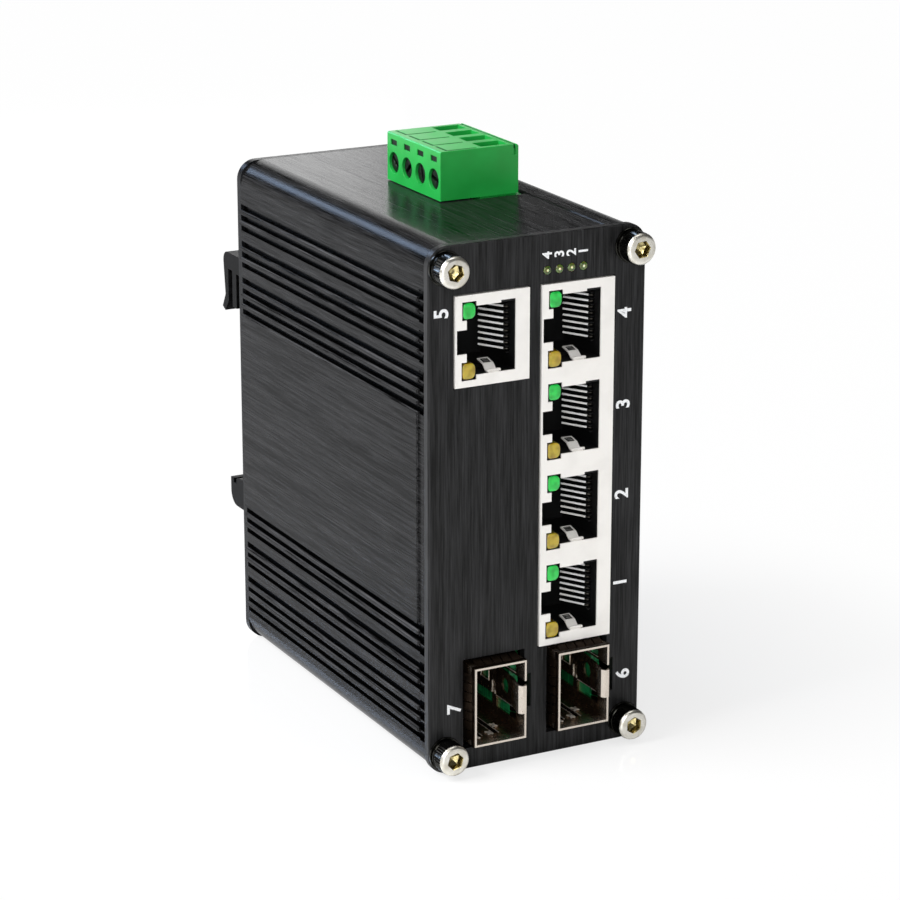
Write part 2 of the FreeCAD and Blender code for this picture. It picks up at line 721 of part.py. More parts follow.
def on_main(d, z, height, d_size, z_size):
    """Component on the main board, centred at (d, z)."""
    points = [(d - d_size / 2, z - z_size / 2), (d + d_size / 2, z - z_size / 2),
              (d + d_size / 2, z + z_size / 2), (d - d_size / 2, z + z_size / 2)]
    return prism(points, along_width(MAIN_FACE - height), V(height, 0, 0))


def chip_heatsink():
    """Small finned heat sink on the switch chip."""
    base = on_main(40, 66, 2.7, 14, 14).cut(on_main(40, 66, 1.2, 20, 20))
    top = MAIN_FACE - 2.7
    fins = [block((top - 4.0, top), (33.0 + k * 2.2, 33.8 + k * 2.2), (59, 73)) for k in range(7)]
    return fuse([base] + fins)


def network_transformers():
    """One transformer block behind each copper port."""
    blocks = [on_main(22.2, top - PORT_HEIGHT / 2, 3.6, 7, 12.5) for top in port_tops(4)]
    upper = on_main(21, PORT_TOP - PORT_HEIGHT / 2, 3.6, 5, 12.5)
    upper.translate(V(PORT_FACE - MAIN_FACE, 0, 0))
    return group(blocks + [upper])


def input_capacitors():
    """Two electrolytic cans lying off the main board."""
    foot = along_width(MAIN_FACE - 10.5)
    return group(prism(ring(d, 78, 4.0, ROUND_SIDES), foot, V(10.5, 0, 0)) for d in (56.0, 66.0))


def power_inductor():
    """Shielded inductor with cut corners."""
    d, z, half, cut = 62.0, 64.0, 5.2, 1.6
    points = [(d - half + cut, z - half), (d + half - cut, z - half), (d + half, z - half + cut),
              (d + half, z + half - cut), (d + half - cut, z + half), (d - half + cut, z + half),
              (d - half, z + half - cut), (d - half, z - half + cut)]
    return prism(points, along_width(MAIN_FACE - 5.0), V(5.0, 0, 0))


def clock_crystal():
    """Low crystal can."""
    return on_main(40, 48, 3.4, 11.0, 4.6)


# ---- power terminal ----
def pole_centres():
    """Depths of the poles."""
    first = TERMINAL_D + TERMINAL_LENGTH / 2 - (POLES - 1) / 2 * POLE_PITCH
    return [first + k * POLE_PITCH for k in range(POLES)]


def terminal_header():
    """Shrouded header on the main board, open to the top for the plug."""
    u0, u1, d0, d1 = HEADER
    top = HEIGHT - HEADER_TOP
    floor = HEIGHT - HEADER_DROP
    body = block((u0, u1), (d0, d1), (floor, top))
    foot = block((u1 - 1, MAIN_FACE), (d0, d1), (floor, HEIGHT - 5.2))
    gap = 0.15
    cavity = block((NOSE[0] - gap, NOSE[1] + gap), (NOSE[2] - gap, NOSE[3] + gap),
                   (floor + HEADER_FLOOR, top + 1))
    holes = [header_pin(d, 0.03) for d in pole_centres()]
    return fuse([body, foot]).cut(group([cavity] + holes))


def header_pin(d, gap):
    """Square pin: up into the plug, and across into the board."""
    half = PIN / 2 + gap
    low = HEIGHT - HEADER_DROP + 1.0
    upright = block((PIN_U - half, PIN_U + half), (d - half, d + half), (low - gap, HEIGHT - 2.6))
    tail = block((PIN_U - half, MAIN_FACE), (d - half, d + half), (low - gap, low + PIN + gap))
    return fuse([upright, tail])


def screw_level():
    """Height of the clamp screws' axes."""
    return HEIGHT + 3.5


def plug_pole_cuts(d):
    """Everything hollow in one pole of the plug."""
    u0 = TERMINAL_U
    top = HEIGHT + TERMINAL_ABOVE
    z = screw_level()
    return [
        prism(ring(d, z, SCREW_HOLE_R, 24), along_width(u0 - 1), V(5.2, 0, 0)),
        prism(ring(d, z, SCREW_SHANK_R + 0.05, 8), along_width(u0 + 4), V(2, 0, 0)),
        block((u0 + 5.2, u0 + 13.5), (d - 2.1, d + 2.1), (HEIGHT + 0.9, HEIGHT + 6.1)),
        block((u0 + 8.2, u0 + 13.3), (d - 1.6, d + 1.6), (HEIGHT + 6.0, top + 1)),
        block((u0 - 1, u0 + 0.9), (d - 1.15, d + 1.15), (HEIGHT + 6.55, HEIGHT + 7.55)),
        block((u0 + 1.3, u0 + 1.75), (d - 2.1, d + 2.1), (top - 1.2, top + 1)),
        block((u0 + 1.3, u0 + 7.2), (d - 2.1, d - 1.65), (top - 1.2, top + 1)),
        block((PIN_U - 1.1, PIN_U + 1.1), (d - 1.1, d + 1.1), (HEIGHT - NOSE_DROP - 1, HEIGHT + 1)),
    ]


def plug_body():
    """Green moulded plug: clamp block above the case and a nose in the header."""
    u0 = TERMINAL_U
    u1 = u0 + TERMINAL_WIDTH
    d0 = TERMINAL_D
    d1 = d0 + TERMINAL_LENGTH
    bottom = HEIGHT + TERMINAL_CLEAR
    top = HEIGHT + TERMINAL_ABOVE
    points = [(u0, bottom), (u1, bottom), (u1, top - 0.3), (u1 - 0.3, top), (u0 + 0.2, top), (u0, top - 0.2)]
    clamp = prism(points, along_depth(d0), V(0, d1 - d0, 0))
    nose = block(NOSE[:2], NOSE[2:], (HEIGHT - NOSE_DROP, bottom + 1))
    rebate = block((u1 - 0.95, u1 - 0.55), (d0 - 1, d1 + 1), (top - 0.8, top + 1))
    down = block((u1 - 0.95, u1 - 0.55), (d0 - 1, d0 + 0.4), (top - 1.8, top + 1))
    cuts = [cut for d in pole_centres() for cut in plug_pole_cuts(d)]
    return fuse([clamp, nose]).cut(fuse(cuts + [rebate, down]))


def plug_clamp(d):
    """Rectangular wire clamp that the screw draws up."""
    u0 = TERMINAL_U + 5.6
    outer = block((u0, u0 + 7.4), (d - 1.95, d + 1.95), (HEIGHT + 1.0, HEIGHT + 5.9))
    inner = block((u0 + 1.0, u0 + 6.6), (d - 1.35, d + 1.35), (HEIGHT, HEIGHT + 7))
    return outer.cut(inner)


def plug_screw(d):
    """Slotted clamp screw, its head on the step of the access hole and its end on the clamp."""
    z = screw_level()
    u0 = TERMINAL_U + 2.6
    head = prism(ring(d, z, 1.75, 16), along_width(u0), V(1.6, 0, 0))
    shank = prism(ring(d, z, SCREW_SHANK_R, 8), along_width(u0 + 1.5), V(1.5, 0, 0))
    slot = block((u0 - 1, u0 + 0.9), (d - 2, d + 2), (z - 0.25, z + 0.25))
    return fuse([head, shank]).cut(slot)


def plug_contact(d):
    """Fork that grips a header pin and ends as a bar in the wire clamp."""
    low = HEIGHT - NOSE_DROP + 0.4
    left = block((PIN_U - 1.1, PIN_U - 0.6), (d - 1.0, d + 1.0), (low, HEIGHT + 2.4))
    right = block((PIN_U + 0.6, PIN_U + 1.1), (d - 1.0, d + 1.0), (low, HEIGHT + 0.5))
    bridge = block((PIN_U - 1.1, PIN_U + 1.1), (d - 1.0, d + 1.0), (HEIGHT - 0.2, HEIGHT + 0.5))
    return fuse([left, right, bridge])


# ---- rail bracket ----
def hook_section():
    """Section of the bracket as (y behind the rear plate, z): base, deep upper slot and lower nose."""
    wall = RAIL_SEAT + HOOK_SLOT
    outer = wall + HOOK_WALL
    z0, z1 = BRACKET_Z
    pocket = RAIL_SEAT - 1.8
    lower = [
        (0, z0), (7.9, z0), (7.9, RAIL_BOTTOM + 0.8), (RAIL_SEAT + 1.3, RAIL_BOTTOM + 0.8),
        (RAIL_SEAT + 1.3, RAIL_BOTTOM), (RAIL_SEAT, RAIL_BOTTOM), (RAIL_SEAT, RAIL_BOTTOM + 1.0),
        (RAIL_SEAT - 1.2, RAIL_BOTTOM + 1.4), (RAIL_BASE, RAIL_BOTTOM + 1.4),
    ]
    upper = [
        (RAIL_BASE, SLOT_TOP - 0.3), (pocket, SLOT_TOP - 0.3), (pocket, 62.5), (RAIL_SEAT, 62.5),
        (RAIL_SEAT, SLOT_TOP), (wall, SLOT_TOP), (wall, 63.2), (HOOK_REACH - 1.2, 61.1),
        (HOOK_REACH, 61.7), (outer, 64.2), (outer + 0.9, z1), (0, z1),
    ]
    radii = [0, 2.6, 0, 0, 0, 0, 0, 0, 0] + [0, 0, 0, 0, 0, 0, 0, 0, 0, 0.8, 1.8, 0]
    return lower + upper, radii


def spring_windows():
    """Upright windows in the hook for the ends of the spring, above the ledge they rest on."""
    half = SPRING_WIRE / 2
    z = (SPRING_END_Z - half, SLOT_TOP - 0.3)
    middle = WIDTH / 2
    y = (RAIL_SEAT - 2.5, RAIL_SEAT + 0.4)
    places = (middle - SPRING_HALF, middle + SPRING_HALF)
    return [block((u - 0.85, u + 0.85), (DEPTH + y[0], DEPTH + y[1]), z) for u in places]


def rail_bracket():
    """Extruded bracket that hooks on the rail, screwed to the rear plate."""
    points, radii = hook_section()
    moved = [(DEPTH + y, z) for y, z in points]
    bar = prism(moved, along_width(BRACKET_U[0]), V(BRACKET_U[1] - BRACKET_U[0], 0, 0), radii)
    sinks = [countersink(u, z, DEPTH + RAIL_BASE) for u, z in BRACKET_SCREWS]
    bores = [turned(u, z, DEPTH - 1, DEPTH + 1, TAPPED_R, BORE_SIDES) for u, z in BRACKET_SCREWS]
    return bar.cut(group([fuse(pair) for pair in zip(sinks, bores)] + spring_windows()))


def rail_spring():
    """Bowed wire in the upper slot that presses on the rail's edge; its hooked ends sit in windows."""
    middle = WIDTH / 2
    y = DEPTH + RAIL_SEAT + HOOK_SLOT / 2
    inside = DEPTH + RAIL_BASE + 0.95
    sag = SPRING_END_Z - SPRING_MID_Z
    bow_radius = (SPRING_HALF ** 2 + sag ** 2) / (2 * sag)
    centre = V(middle, y, SPRING_MID_Z + bow_radius)
    swing = math.degrees(math.asin(SPRING_HALF / bow_radius))
    radius = SPRING_WIRE / 2
    section = Part.Face(outline(ring(y, SPRING_MID_Z, radius, 6), along_width(middle)))
    section.rotate(centre, V(0, 1, 0), -swing)
    pieces = [section.revolve(centre, V(0, 1, 0), 2 * swing)]
    for u in (middle - SPRING_HALF, middle + SPRING_HALF):
        pieces.append(turned(u, SPRING_END_Z, inside, y + radius, radius, 6))
    return fuse(pieces)


def build():
    """Builds and writes every piece."""
    os.makedirs("parts", exist_ok=True)
    export("finned_shell", finned_shell())
    export("side_cover", side_cover())
    export("front_plate", front_plate())
    export("rear_plate", rear_plate())
    export("front_screws", group(cap_screw(u, z) for u, z in screw_centres()))
    export("front_lock_washers", group(lock_washer(u, z) for u, z in screw_centres()))
    export("front_flat_washers", group(flat_washer(u, z) for u, z in screw_centres()))
    export("rear_screws", group(countersunk_screw(u, z, DEPTH, 8.0) for u, z in screw_centres()))
    export("rail_bracket", rail_bracket())
    bracket_face = DEPTH + RAIL_BASE
    screws = [countersunk_screw(u, z, bracket_face, 5.0) for u, z in BRACKET_SCREWS]
    export("bracket_screws", group(screws))
    export("rail_spring", rail_spring())
    export("main_board", main_board())
    export("port_board", port_board())
    export("board_link", board_link())
    for name, left, ports in (("quad_jack", gang_left(), 4), ("single_jack", single_left(), 1)):
        export(name + "_shield", port_shield(left, ports))
        export(name + "_housing", port_housing(left, ports))
        export(name + "_contacts", group(port_contacts(left, ports)))
    export("link_lamps", port_lamps(GREEN_POCKET))
    export("speed_lamps", port_lamps(AMBER_POCKET))
    for side, left, face in zip(("left", "right"), cage_lefts(), (PORT_FACE, MAIN_FACE)):
        export(side + "_cage", module_cage(left))
        export(side + "_collar", spring_collar(left))
        export(side + "_cage_socket", cage_socket(face))
    export("status_lamps", status_lamps())
    export("status_lamp_holder", lamp_holder())
    export("terminal_header", terminal_header())
    export("header_pins", group(header_pin(d, 0) for d in pole_centres()))
    export("plug_body", plug_body())
    export("plug_clamps", group(plug_clamp(d) for d in pole_centres()))
    export("plug_screws", group(plug_screw(d) for d in pole_centres()))
    export("plug_contacts", group(plug_contact(d) for d in pole_centres()))
    export("switch_chip", on_main(40, 66, 1.2, 14, 14))
    export("chip_heatsink", chip_heatsink())
    export("interface_chip", on_main(40, 30, 1.2, 9, 9))
    export("network_transformers", network_transformers())
    export("input_capacitors", input_capacitors())
    export("power_inductor", power_inductor())
    export("clock_crystal", clock_crystal())


build()
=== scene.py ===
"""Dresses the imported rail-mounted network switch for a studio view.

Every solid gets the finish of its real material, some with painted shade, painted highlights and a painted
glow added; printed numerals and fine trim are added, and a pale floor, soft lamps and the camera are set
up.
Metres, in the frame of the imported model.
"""
import logging
import math
from dataclasses import dataclass, field
from enum import Enum

import bmesh
import bpy
import numpy as np
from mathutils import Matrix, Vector


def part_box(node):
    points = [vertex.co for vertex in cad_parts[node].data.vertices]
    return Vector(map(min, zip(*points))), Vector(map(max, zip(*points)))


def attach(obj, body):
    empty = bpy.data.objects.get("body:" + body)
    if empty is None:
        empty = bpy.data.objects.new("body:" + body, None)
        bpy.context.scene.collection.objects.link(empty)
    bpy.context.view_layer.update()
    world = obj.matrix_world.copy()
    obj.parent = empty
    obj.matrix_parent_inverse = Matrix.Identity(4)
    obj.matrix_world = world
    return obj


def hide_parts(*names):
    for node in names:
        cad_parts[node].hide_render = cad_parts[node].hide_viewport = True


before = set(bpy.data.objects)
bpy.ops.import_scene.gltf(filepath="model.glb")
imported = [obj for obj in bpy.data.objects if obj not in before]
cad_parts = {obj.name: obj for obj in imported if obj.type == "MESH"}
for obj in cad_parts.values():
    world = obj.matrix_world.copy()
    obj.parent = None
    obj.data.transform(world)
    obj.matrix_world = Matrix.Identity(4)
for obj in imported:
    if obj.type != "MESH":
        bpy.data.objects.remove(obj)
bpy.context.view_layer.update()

log = logging.getLogger("switch")
MM = 0.001
WHITE = (1.0, 1.0, 1.0, 1.0)
Node = bpy.types.Node
Tree = bpy.types.NodeTree
Socket = bpy.types.NodeSocket
Material = bpy.types.Material
Mesh = bpy.types.Mesh
Object = bpy.types.Object
Corner = tuple[float, float, float]


# ---------------------------------------------------------------- small tools
def linear(hex_colour: str) -> tuple[float, float, float, float]:
    """Turns an sRGB hex colour to linear light.

    Args:
        hex_colour: six hex digits.

    Returns:
        Red, green, blue and an alpha of 1.
    """
    values = np.array([int(hex_colour[i:i + 2], 16) for i in (0, 2, 4)]) / 255
    light = np.where(values <= 0.04045, values / 12.92, ((values + 0.055) / 1.055) ** 2.4)
    return (*light.tolist(), 1.0)


def add_node(tree: Tree, kind: str, settings: dict | None = None, links: dict | None = None) -> Node:
    """Adds a node to a tree.

    Args:
        tree: the node tree.
        kind: Blender's name of the node type.
        settings: attributes by name, socket values by socket name or number, and the stops of a colour
            ramp as pairs of position and colour.
        links: output sockets by the name or number of the input that they feed.

    Returns:
        The new node.
    """
    node = tree.nodes.new(kind)
    for name, value in (settings or {}).items():
        if name == "stops":
            ramp = node.color_ramp.elements
            for k, (position, colour) in enumerate(value):
                stop = ramp[k] if k < 2 else ramp.new(position)
                stop.position, stop.color = position, colour
        elif isinstance(name, str) and hasattr(node, name):
            setattr(node, name, value)
        else:
            node.inputs[name].default_value = value
    for name, source in (links or {}).items():
        tree.links.new(source, node.inputs[name])
    return node


class Axis(Enum):
    """The direction that a grain runs in."""

    WIDTH = 0
    DEPTH = 1
    HEIGHT = 2


class Drive(Enum):
    """The recess that a driver turns a screw by."""

    HEX = "hex"
    CROSS = "cross"
    SLOT = "slot"


# ---------------------------------------------------------------- mesh tools
@dataclass
class Skin:
    """One mesh grown from grids of points.

    Attributes:
        points: arrays of points in millimetres, one for each grid.
        quads: arrays of corner numbers.
        marks: arrays of finish numbers, one number for each face.
        count: points so far.
    """

    points: list[np.ndarray] = field(default_factory=list)
    quads: list[np.ndarray] = field(default_factory=list)
    marks: list[np.ndarray] = field(default_factory=list)
    count: int = 0

    def wrap(self, points: np.ndarray, marks: np.ndarray | int = 0) -> None:
        """Adds a sheet closed on itself: quads join points (i, j), (i, j + 1), (i + 1, j + 1), (i + 1, j).

        Args:
            points: array of rows by columns by 3; the last column joins the first.
            marks: finish number of every face, or of each row of faces.
        """
        rows, columns = points.shape[:2]
        i, j = np.meshgrid(np.arange(rows - 1), np.arange(columns), indexing="ij")
        down, over = (i + 1) * columns, (j + 1) % columns
        quads = np.stack([i * columns + j, i * columns + over, down + over, down + j], -1)
        self.points.append(points.reshape(-1, 3))
        self.quads.append(quads.reshape(-1, 4) + self.count)
        self.marks.append(np.broadcast_to(np.reshape(marks, (-1, 1)), i.shape).ravel())
        self.count += rows * columns

    def block(self, low: np.ndarray, high: np.ndarray, edge: float) -> None:
        """Adds a block with drawn-in edges.

        Args:
            low: lowest corner in millimetres.
            high: highest corner in millimetres.
            edge: size of the chamfer.
        """
        self.wrap(block_points(low, high, edge))

    def mesh(self, name: str, sharp: float = 32.0) -> Mesh:
        """Makes the mesh: doubles merged, normals outward, smooth below an angle.

        Args:
            name: the mesh's name.
            sharp: angle in degrees above which an edge stays sharp.

        Returns:
            The mesh, in metres.
        """
        mesh = bpy.data.meshes.new(name)
        mesh.from_pydata(np.concatenate(self.points) * MM, [], np.concatenate(self.quads))
        mesh.polygons.foreach_set("material_index", np.concatenate(self.marks).astype(np.int32))
        whole = bmesh.new()
        whole.from_mesh(mesh)
        bmesh.ops.remove_doubles(whole, verts=whole.verts, dist=0.002 * MM)
        bmesh.ops.dissolve_degenerate(whole, edges=whole.edges, dist=0.001 * MM)
        bmesh.ops.recalc_face_normals(whole, faces=whole.faces)
        whole.to_mesh(mesh)
        whole.free()
        mesh.polygons.foreach_set("use_smooth", np.ones(len(mesh.polygons), bool))
        mesh.set_sharp_from_angle(angle=math.radians(sharp))
        return mesh


def add_piece(name: str, mesh: Mesh, body: str, slot: str, *replaced: str) -> Object:
    """Adds a piece that rides on a body.

    Args:
        name: the piece's name.
        mesh: its mesh, in place.
        body: the body that carries it.
        slot: the record's slot that its finish belongs to; not used.
        replaced: nodes that it stands for.

    Returns:
        The new object.
    """
    piece = bpy.data.objects.new(name, mesh)
    bpy.context.scene.collection.objects.link(piece)
    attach(piece, body)
    if replaced:
        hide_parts(*replaced)
    return piece


def box_mm(node: str) -> tuple[np.ndarray, np.ndarray]:
    """Finds a node's box.

    Args:
        node: the node's name.

    Returns:
        Its lowest and highest corners in millimetres.
    """
    low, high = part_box(node)
    return np.array(low) / MM, np.array(high) / MM


def block_points(low: np.ndarray, high: np.ndarray, edge: float) -> np.ndarray:
    """Works out a block with rounded-off edges: six rings along Z, the end rings drawn in by the edge.

    Args:
        low: lowest corner in millimetres.
        high: highest corner in millimetres.
        edge: size of the chamfer.

    Returns:
        Rings by corners by 3; the first and last rings are points.
    """
    centre, half = (low + high) / 2, (high - low) / 2
    inner, outer = half[:2] - edge, half[:2]
    corner = np.array([[-1, -1], [1, -1], [1, 1], [-1, 1]])
    cut = np.stack([np.stack([corner[:, 0] * a, corner[:, 1] * b], -1)
                    for a, b in ((inner[0], outer[1]), (outer[0], inner[1]))], 1)
    cut[1::2] = cut[1::2, ::-1]
    ring = cut.reshape(-1, 2)
    heights = np.array([low[2], low[2], low[2] + edge, high[2] - edge, high[2], high[2]])
    scales = np.array([0, 1 - edge / half.min(), 1, 1, 1 - edge / half.min(), 0])
    flat = ring[None] * scales[:, None, None] + centre[:2]
    return np.dstack([flat, np.broadcast_to(heights[:, None, None], (6, 8, 1))])


def capped(rings: np.ndarray) -> np.ndarray:
    """Closes a row of rings: puts the middle of the first before them and that of the last behind them.

    Args:
        rings: rings by corners by 3.

    Returns:
        The rings with one more, shrunk to a point, at each end.
    """
    ends = np.broadcast_to(rings[[0, -1]].mean(1, keepdims=True), (2, *rings.shape[1:]))
    return np.concatenate([ends[:1], rings, ends[1:]])


def wire_points(path: np.ndarray, radius: float, sides: int = 8) -> np.ndarray:
    """Works out a round wire: circles square to a path that lies level, drawn to a point at each end.

    Args:
        path: points of the path in millimetres, all at one height.
        radius: radius of the wire.
        sides: corners of a circle.

    Returns:
        Rings by corners by 3.
    """
    along = np.gradient(path, axis=0)
    along /= np.linalg.norm(along, axis=1, keepdims=True)
    aside = np.cross(along, (0, 0, 1))
    angle = np.linspace(0, math.tau, sides, endpoint=False)[:, None]
    ring = np.cos(angle) * aside[:, None] + np.sin(angle) * np.array((0, 0, 1))
    return capped(path[:, None] + radius * ring)


def drive_radius(angle: np.ndarray, drive: Drive, size: float) -> np.ndarray:
    """Works out a recess's outline as a radius.

    A hexagon is half its flats over the cosine of the angle from the nearest flat's middle. A cross is
    the larger of two crossed bars, each the smaller of its half length over the cosine and its half
    width over the sine. A slot is one such bar.

    Args:
        angle: angles round the screw in radians.
        drive: the kind of recess.
        size: width across flats, or length of a bar.

    Returns:
        The radius at each angle.
    """
    if drive is Drive.HEX:
        step = math.pi / 3
        return size / 2 / np.cos(np.mod(angle, step) - step / 2)
    across, up = np.abs(np.cos(angle)) + 1e-6, np.abs(np.sin(angle)) + 1e-6
    half_length, half_width = size / 2, size * 0.11
    bars = [np.minimum(half_length / a, half_width / b) for a, b in ((across, up), (up, across))]
    return bars[0] if drive is Drive.SLOT else np.maximum(*bars)


@dataclass(frozen=True)
class ScrewForm:
    """A screw turned about the depth axis.

    Attributes:
        profile: rows of (plain radius, share of the recess outline, knurl depth, depth below the face).
        drive: the recess.
        size: size of the recess.
        ridges: knurled ridges round the head.
    """

    profile: tuple[tuple[float, float, float, float], ...]
    drive: Drive
    size: float
    ridges: int = 36

    def points(self, centre: tuple[float, float, float], turn: float, way: float = 1.0) -> np.ndarray:
        """Works out the surface: at each angle the radius is the plain one plus shares of recess and knurl.

        Args:
            centre: middle of the head's face in millimetres.
            turn: how far the recess is turned, in degrees.
            way: 1 where the shank goes towards +Y, -1 where it goes towards -Y.

        Returns:
            Profile rows by angles by 3.
        """
        angle = np.linspace(0, math.tau, self.ridges * 4, endpoint=False)
        plain, share, knurl, depth = np.array(self.profile).T[:, :, None]
        recess = drive_radius(angle, self.drive, self.size)
        ridge = np.cos(angle * self.ridges)
        radius = plain + share * recess + knurl * ridge
        turned = angle + math.radians(turn)
        x = centre[0] + radius * np.cos(turned)
        z = centre[2] + radius * np.sin(turned)
        y = np.broadcast_to(centre[1] + way * depth, radius.shape)
        return np.stack([x, y, z], -1)


CAP_SCREW = ScrewForm(
    ((0, 0, 0, 2.1), (0, 0.5, 0, 1.8), (0, 0.94, 0, 1.55), (0, 1, 0, 1.5), (0, 1, 0, 0.14), (0.1, 1, 0, 0),
     (1.98, 0, 0, 0), (2.24, 0, 0, 0.04), (2.46, 0, 0, 0.14), (2.6, 0, 0, 0.29), (2.68, 0, 0, 0.48),
     (2.66, 0, 0.04, 0.6), (2.66, 0, 0.075, 0.7), (2.66, 0, 0.075, 1.6), (2.66, 0, 0.075, 2.62),
     (2.66, 0, 0.04, 2.72), (2.66, 0, 0, 2.8), (2.6, 0, 0, 3.0), (1.5, 0, 0, 3.0), (1.45, 0, 0, 3.0),
     (1.45, 0, 0, 13.0), (0, 0, 0, 13.0)),
    Drive.HEX, 2.5)
COUNTERSUNK = ScrewForm(
    ((0, 0, 0, 1.05), (0, 0.55, 0, 0.95), (0, 0.9, 0, 0.85), (0, 1, 0, 0.05), (0.06, 1, 0, 0.02),
     (2.5, 0, 0, 0.02), (2.66, 0, 0, 0.05), (2.7, 0, 0, 0.12), (1.7, 0, 0, 1.5), (1.45, 0, 0, 1.55),
     (1.45, 0, 0, 4.9), (0, 0, 0, 4.9)),
    Drive.CROSS, 3.0)
CLAMP_SCREW = ScrewForm(
    ((0, 0, 0, 0.8), (0, 0.9, 0, 0.75), (0, 1, 0, 0.7), (0, 1, 0, 0.03), (0.05, 1, 0, 0), (1.6, 0, 0, 0),
     (1.7, 0, 0, 0.05), (1.74, 0, 0, 0.16), (1.74, 0, 0, 3.2), (1.2, 0, 0, 3.2), (1.2, 0, 0, 4.5),
     (0, 0, 0, 4.5)),
    Drive.SLOT, 2.9)


def washer_points(centre: tuple[float, float, float], inner: float, outer: float, thick: float,
                  round_off: float, rise: float = 0.0, gap: float = 0.0) -> np.ndarray:
    """Works out a washer: a rounded rectangle carried round a circle, as a helix where it is split.

    Args:
        centre: middle of its front side in millimetres.
        inner: radius of the hole.
        outer: outer radius.
        thick: thickness towards +Y.
        round_off: chamfer of its section.
        rise: how far one end of a split washer stands in front of the other.
        gap: angle of the split in degrees.

    Returns:
        Steps by section corners by 3.
    """
    r = round_off
    section = np.array([(inner, r), (inner + r, 0), (outer - r, 0), (outer, r), (outer, thick - r),
                        (outer - r, thick), (inner + r, thick), (inner, thick - r)])
    half = math.radians(gap / 2)
    angle = np.linspace(half, math.tau - half, 73)[:, None]
    lift = (angle / math.tau - 0.5) * rise
    x = centre[0] + section[:, 0] * np.cos(angle)
    z = centre[2] + section[:, 0] * np.sin(angle)
    y = centre[1] + section[:, 1] * (1 - rise / thick) + rise / 2 + lift
    return np.stack([x, np.broadcast_to(y, x.shape), z], -1)


def bevelled_copy(node: str, body: str, slot: str, width_mm: float) -> Object:
    """Stands a copy with rounded edges for a node whose own form is right.

    Args:
        node: the node.
        body: the body that carries it.
        slot: its slot in the record; passed to add_piece, which doesn't use it.
        width_mm: width of the rounding.

    Returns:
        The piece, with a live bevel on edges sharper than forty degrees.
    """
    corner = math.radians(40)
    whole = bmesh.new()
    whole.from_mesh(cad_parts[node].data)
    bmesh.ops.remove_doubles(whole, verts=whole.verts, dist=0.001 * MM)
    bmesh.ops.dissolve_limit(whole, angle_limit=math.radians(1), verts=whole.verts, edges=whole.edges)
    mesh = bpy.data.meshes.new(node + "_rounded")
    whole.to_mesh(mesh)
    whole.free()
    mesh.polygons.foreach_set("use_smooth", np.ones(len(mesh.polygons), bool))
    mesh.set_sharp_from_angle(angle=corner)
    piece = add_piece(node + "_rounded", mesh, body, slot, node)
    bevel = piece.modifiers.new("rounding", "BEVEL")
    bevel.width = width_mm * MM
    bevel.segments = 2
    bevel.limit_method = "ANGLE"
    bevel.angle_limit = corner
    bevel.use_clamp_overlap = True
    bevel.harden_normals = True
    even = piece.modifiers.new("even_shading", "WEIGHTED_NORMAL")
    even.keep_sharp = True
    return piece


# ---------------------------------------------------------------- finishes
@dataclass(frozen=True)
class Finish:
    """What every finish shares.

    Attributes:
        name: the material's name.
    """

    name: str

    def build(self) -> Material:
        """Makes the material from the surface of its kind.

        Returns:
            The material.
        """
        material = bpy.data.materials.new(self.name)
        material.use_nodes = True
        tree = material.node_tree
        tree.nodes.clear()
        place = add_node(tree, "ShaderNodeTexCoord").outputs["Object"]
        add_node(tree, "ShaderNodeOutputMaterial", links={"Surface": self.surface(tree, place)})
        return material

    def surface(self, tree: Tree, place: Socket) -> Socket:
        """Works out the surface; each kind of finish does this its own way.

        Args:
            tree: the material's node tree.
            place: the place on the object.

        Returns:
            The shader.
        """
        raise NotImplementedError

    def skin(self, tree: Tree, colour: Socket, gloss: tuple[Socket, float, float],
             relief: tuple[Socket, float, float], settings: dict) -> Socket:
        """Joins colour, gloss and relief in one shader.

        Args:
            tree: the material's node tree.
            colour: the colour.
            gloss: a pattern, and the roughness where it is low and where it is high.
            relief: a pattern, the strength of its relief and its depth in millimetres.
            settings: values for the shader.

        Returns:
            The shader.
        """
        pattern, low, high = gloss
        # Noise seldom leaves 0.3 to 0.7.
        rough = add_node(tree, "ShaderNodeMapRange",
                         {"From Min": 0.3, "From Max": 0.7, "To Min": low, "To Max": high},
                         {"Value": pattern})
        height, strength, depth_mm = relief
        bump = add_node(tree, "ShaderNodeBump", {"Strength": strength, "Distance": depth_mm * MM},
                        {"Height": height})
        shader = add_node(tree, "ShaderNodeBsdfPrincipled", settings,
                          {"Base Color": colour, "Roughness": rough.outputs["Result"],
                           "Normal": bump.outputs["Normal"]})
        return shader.outputs["BSDF"]


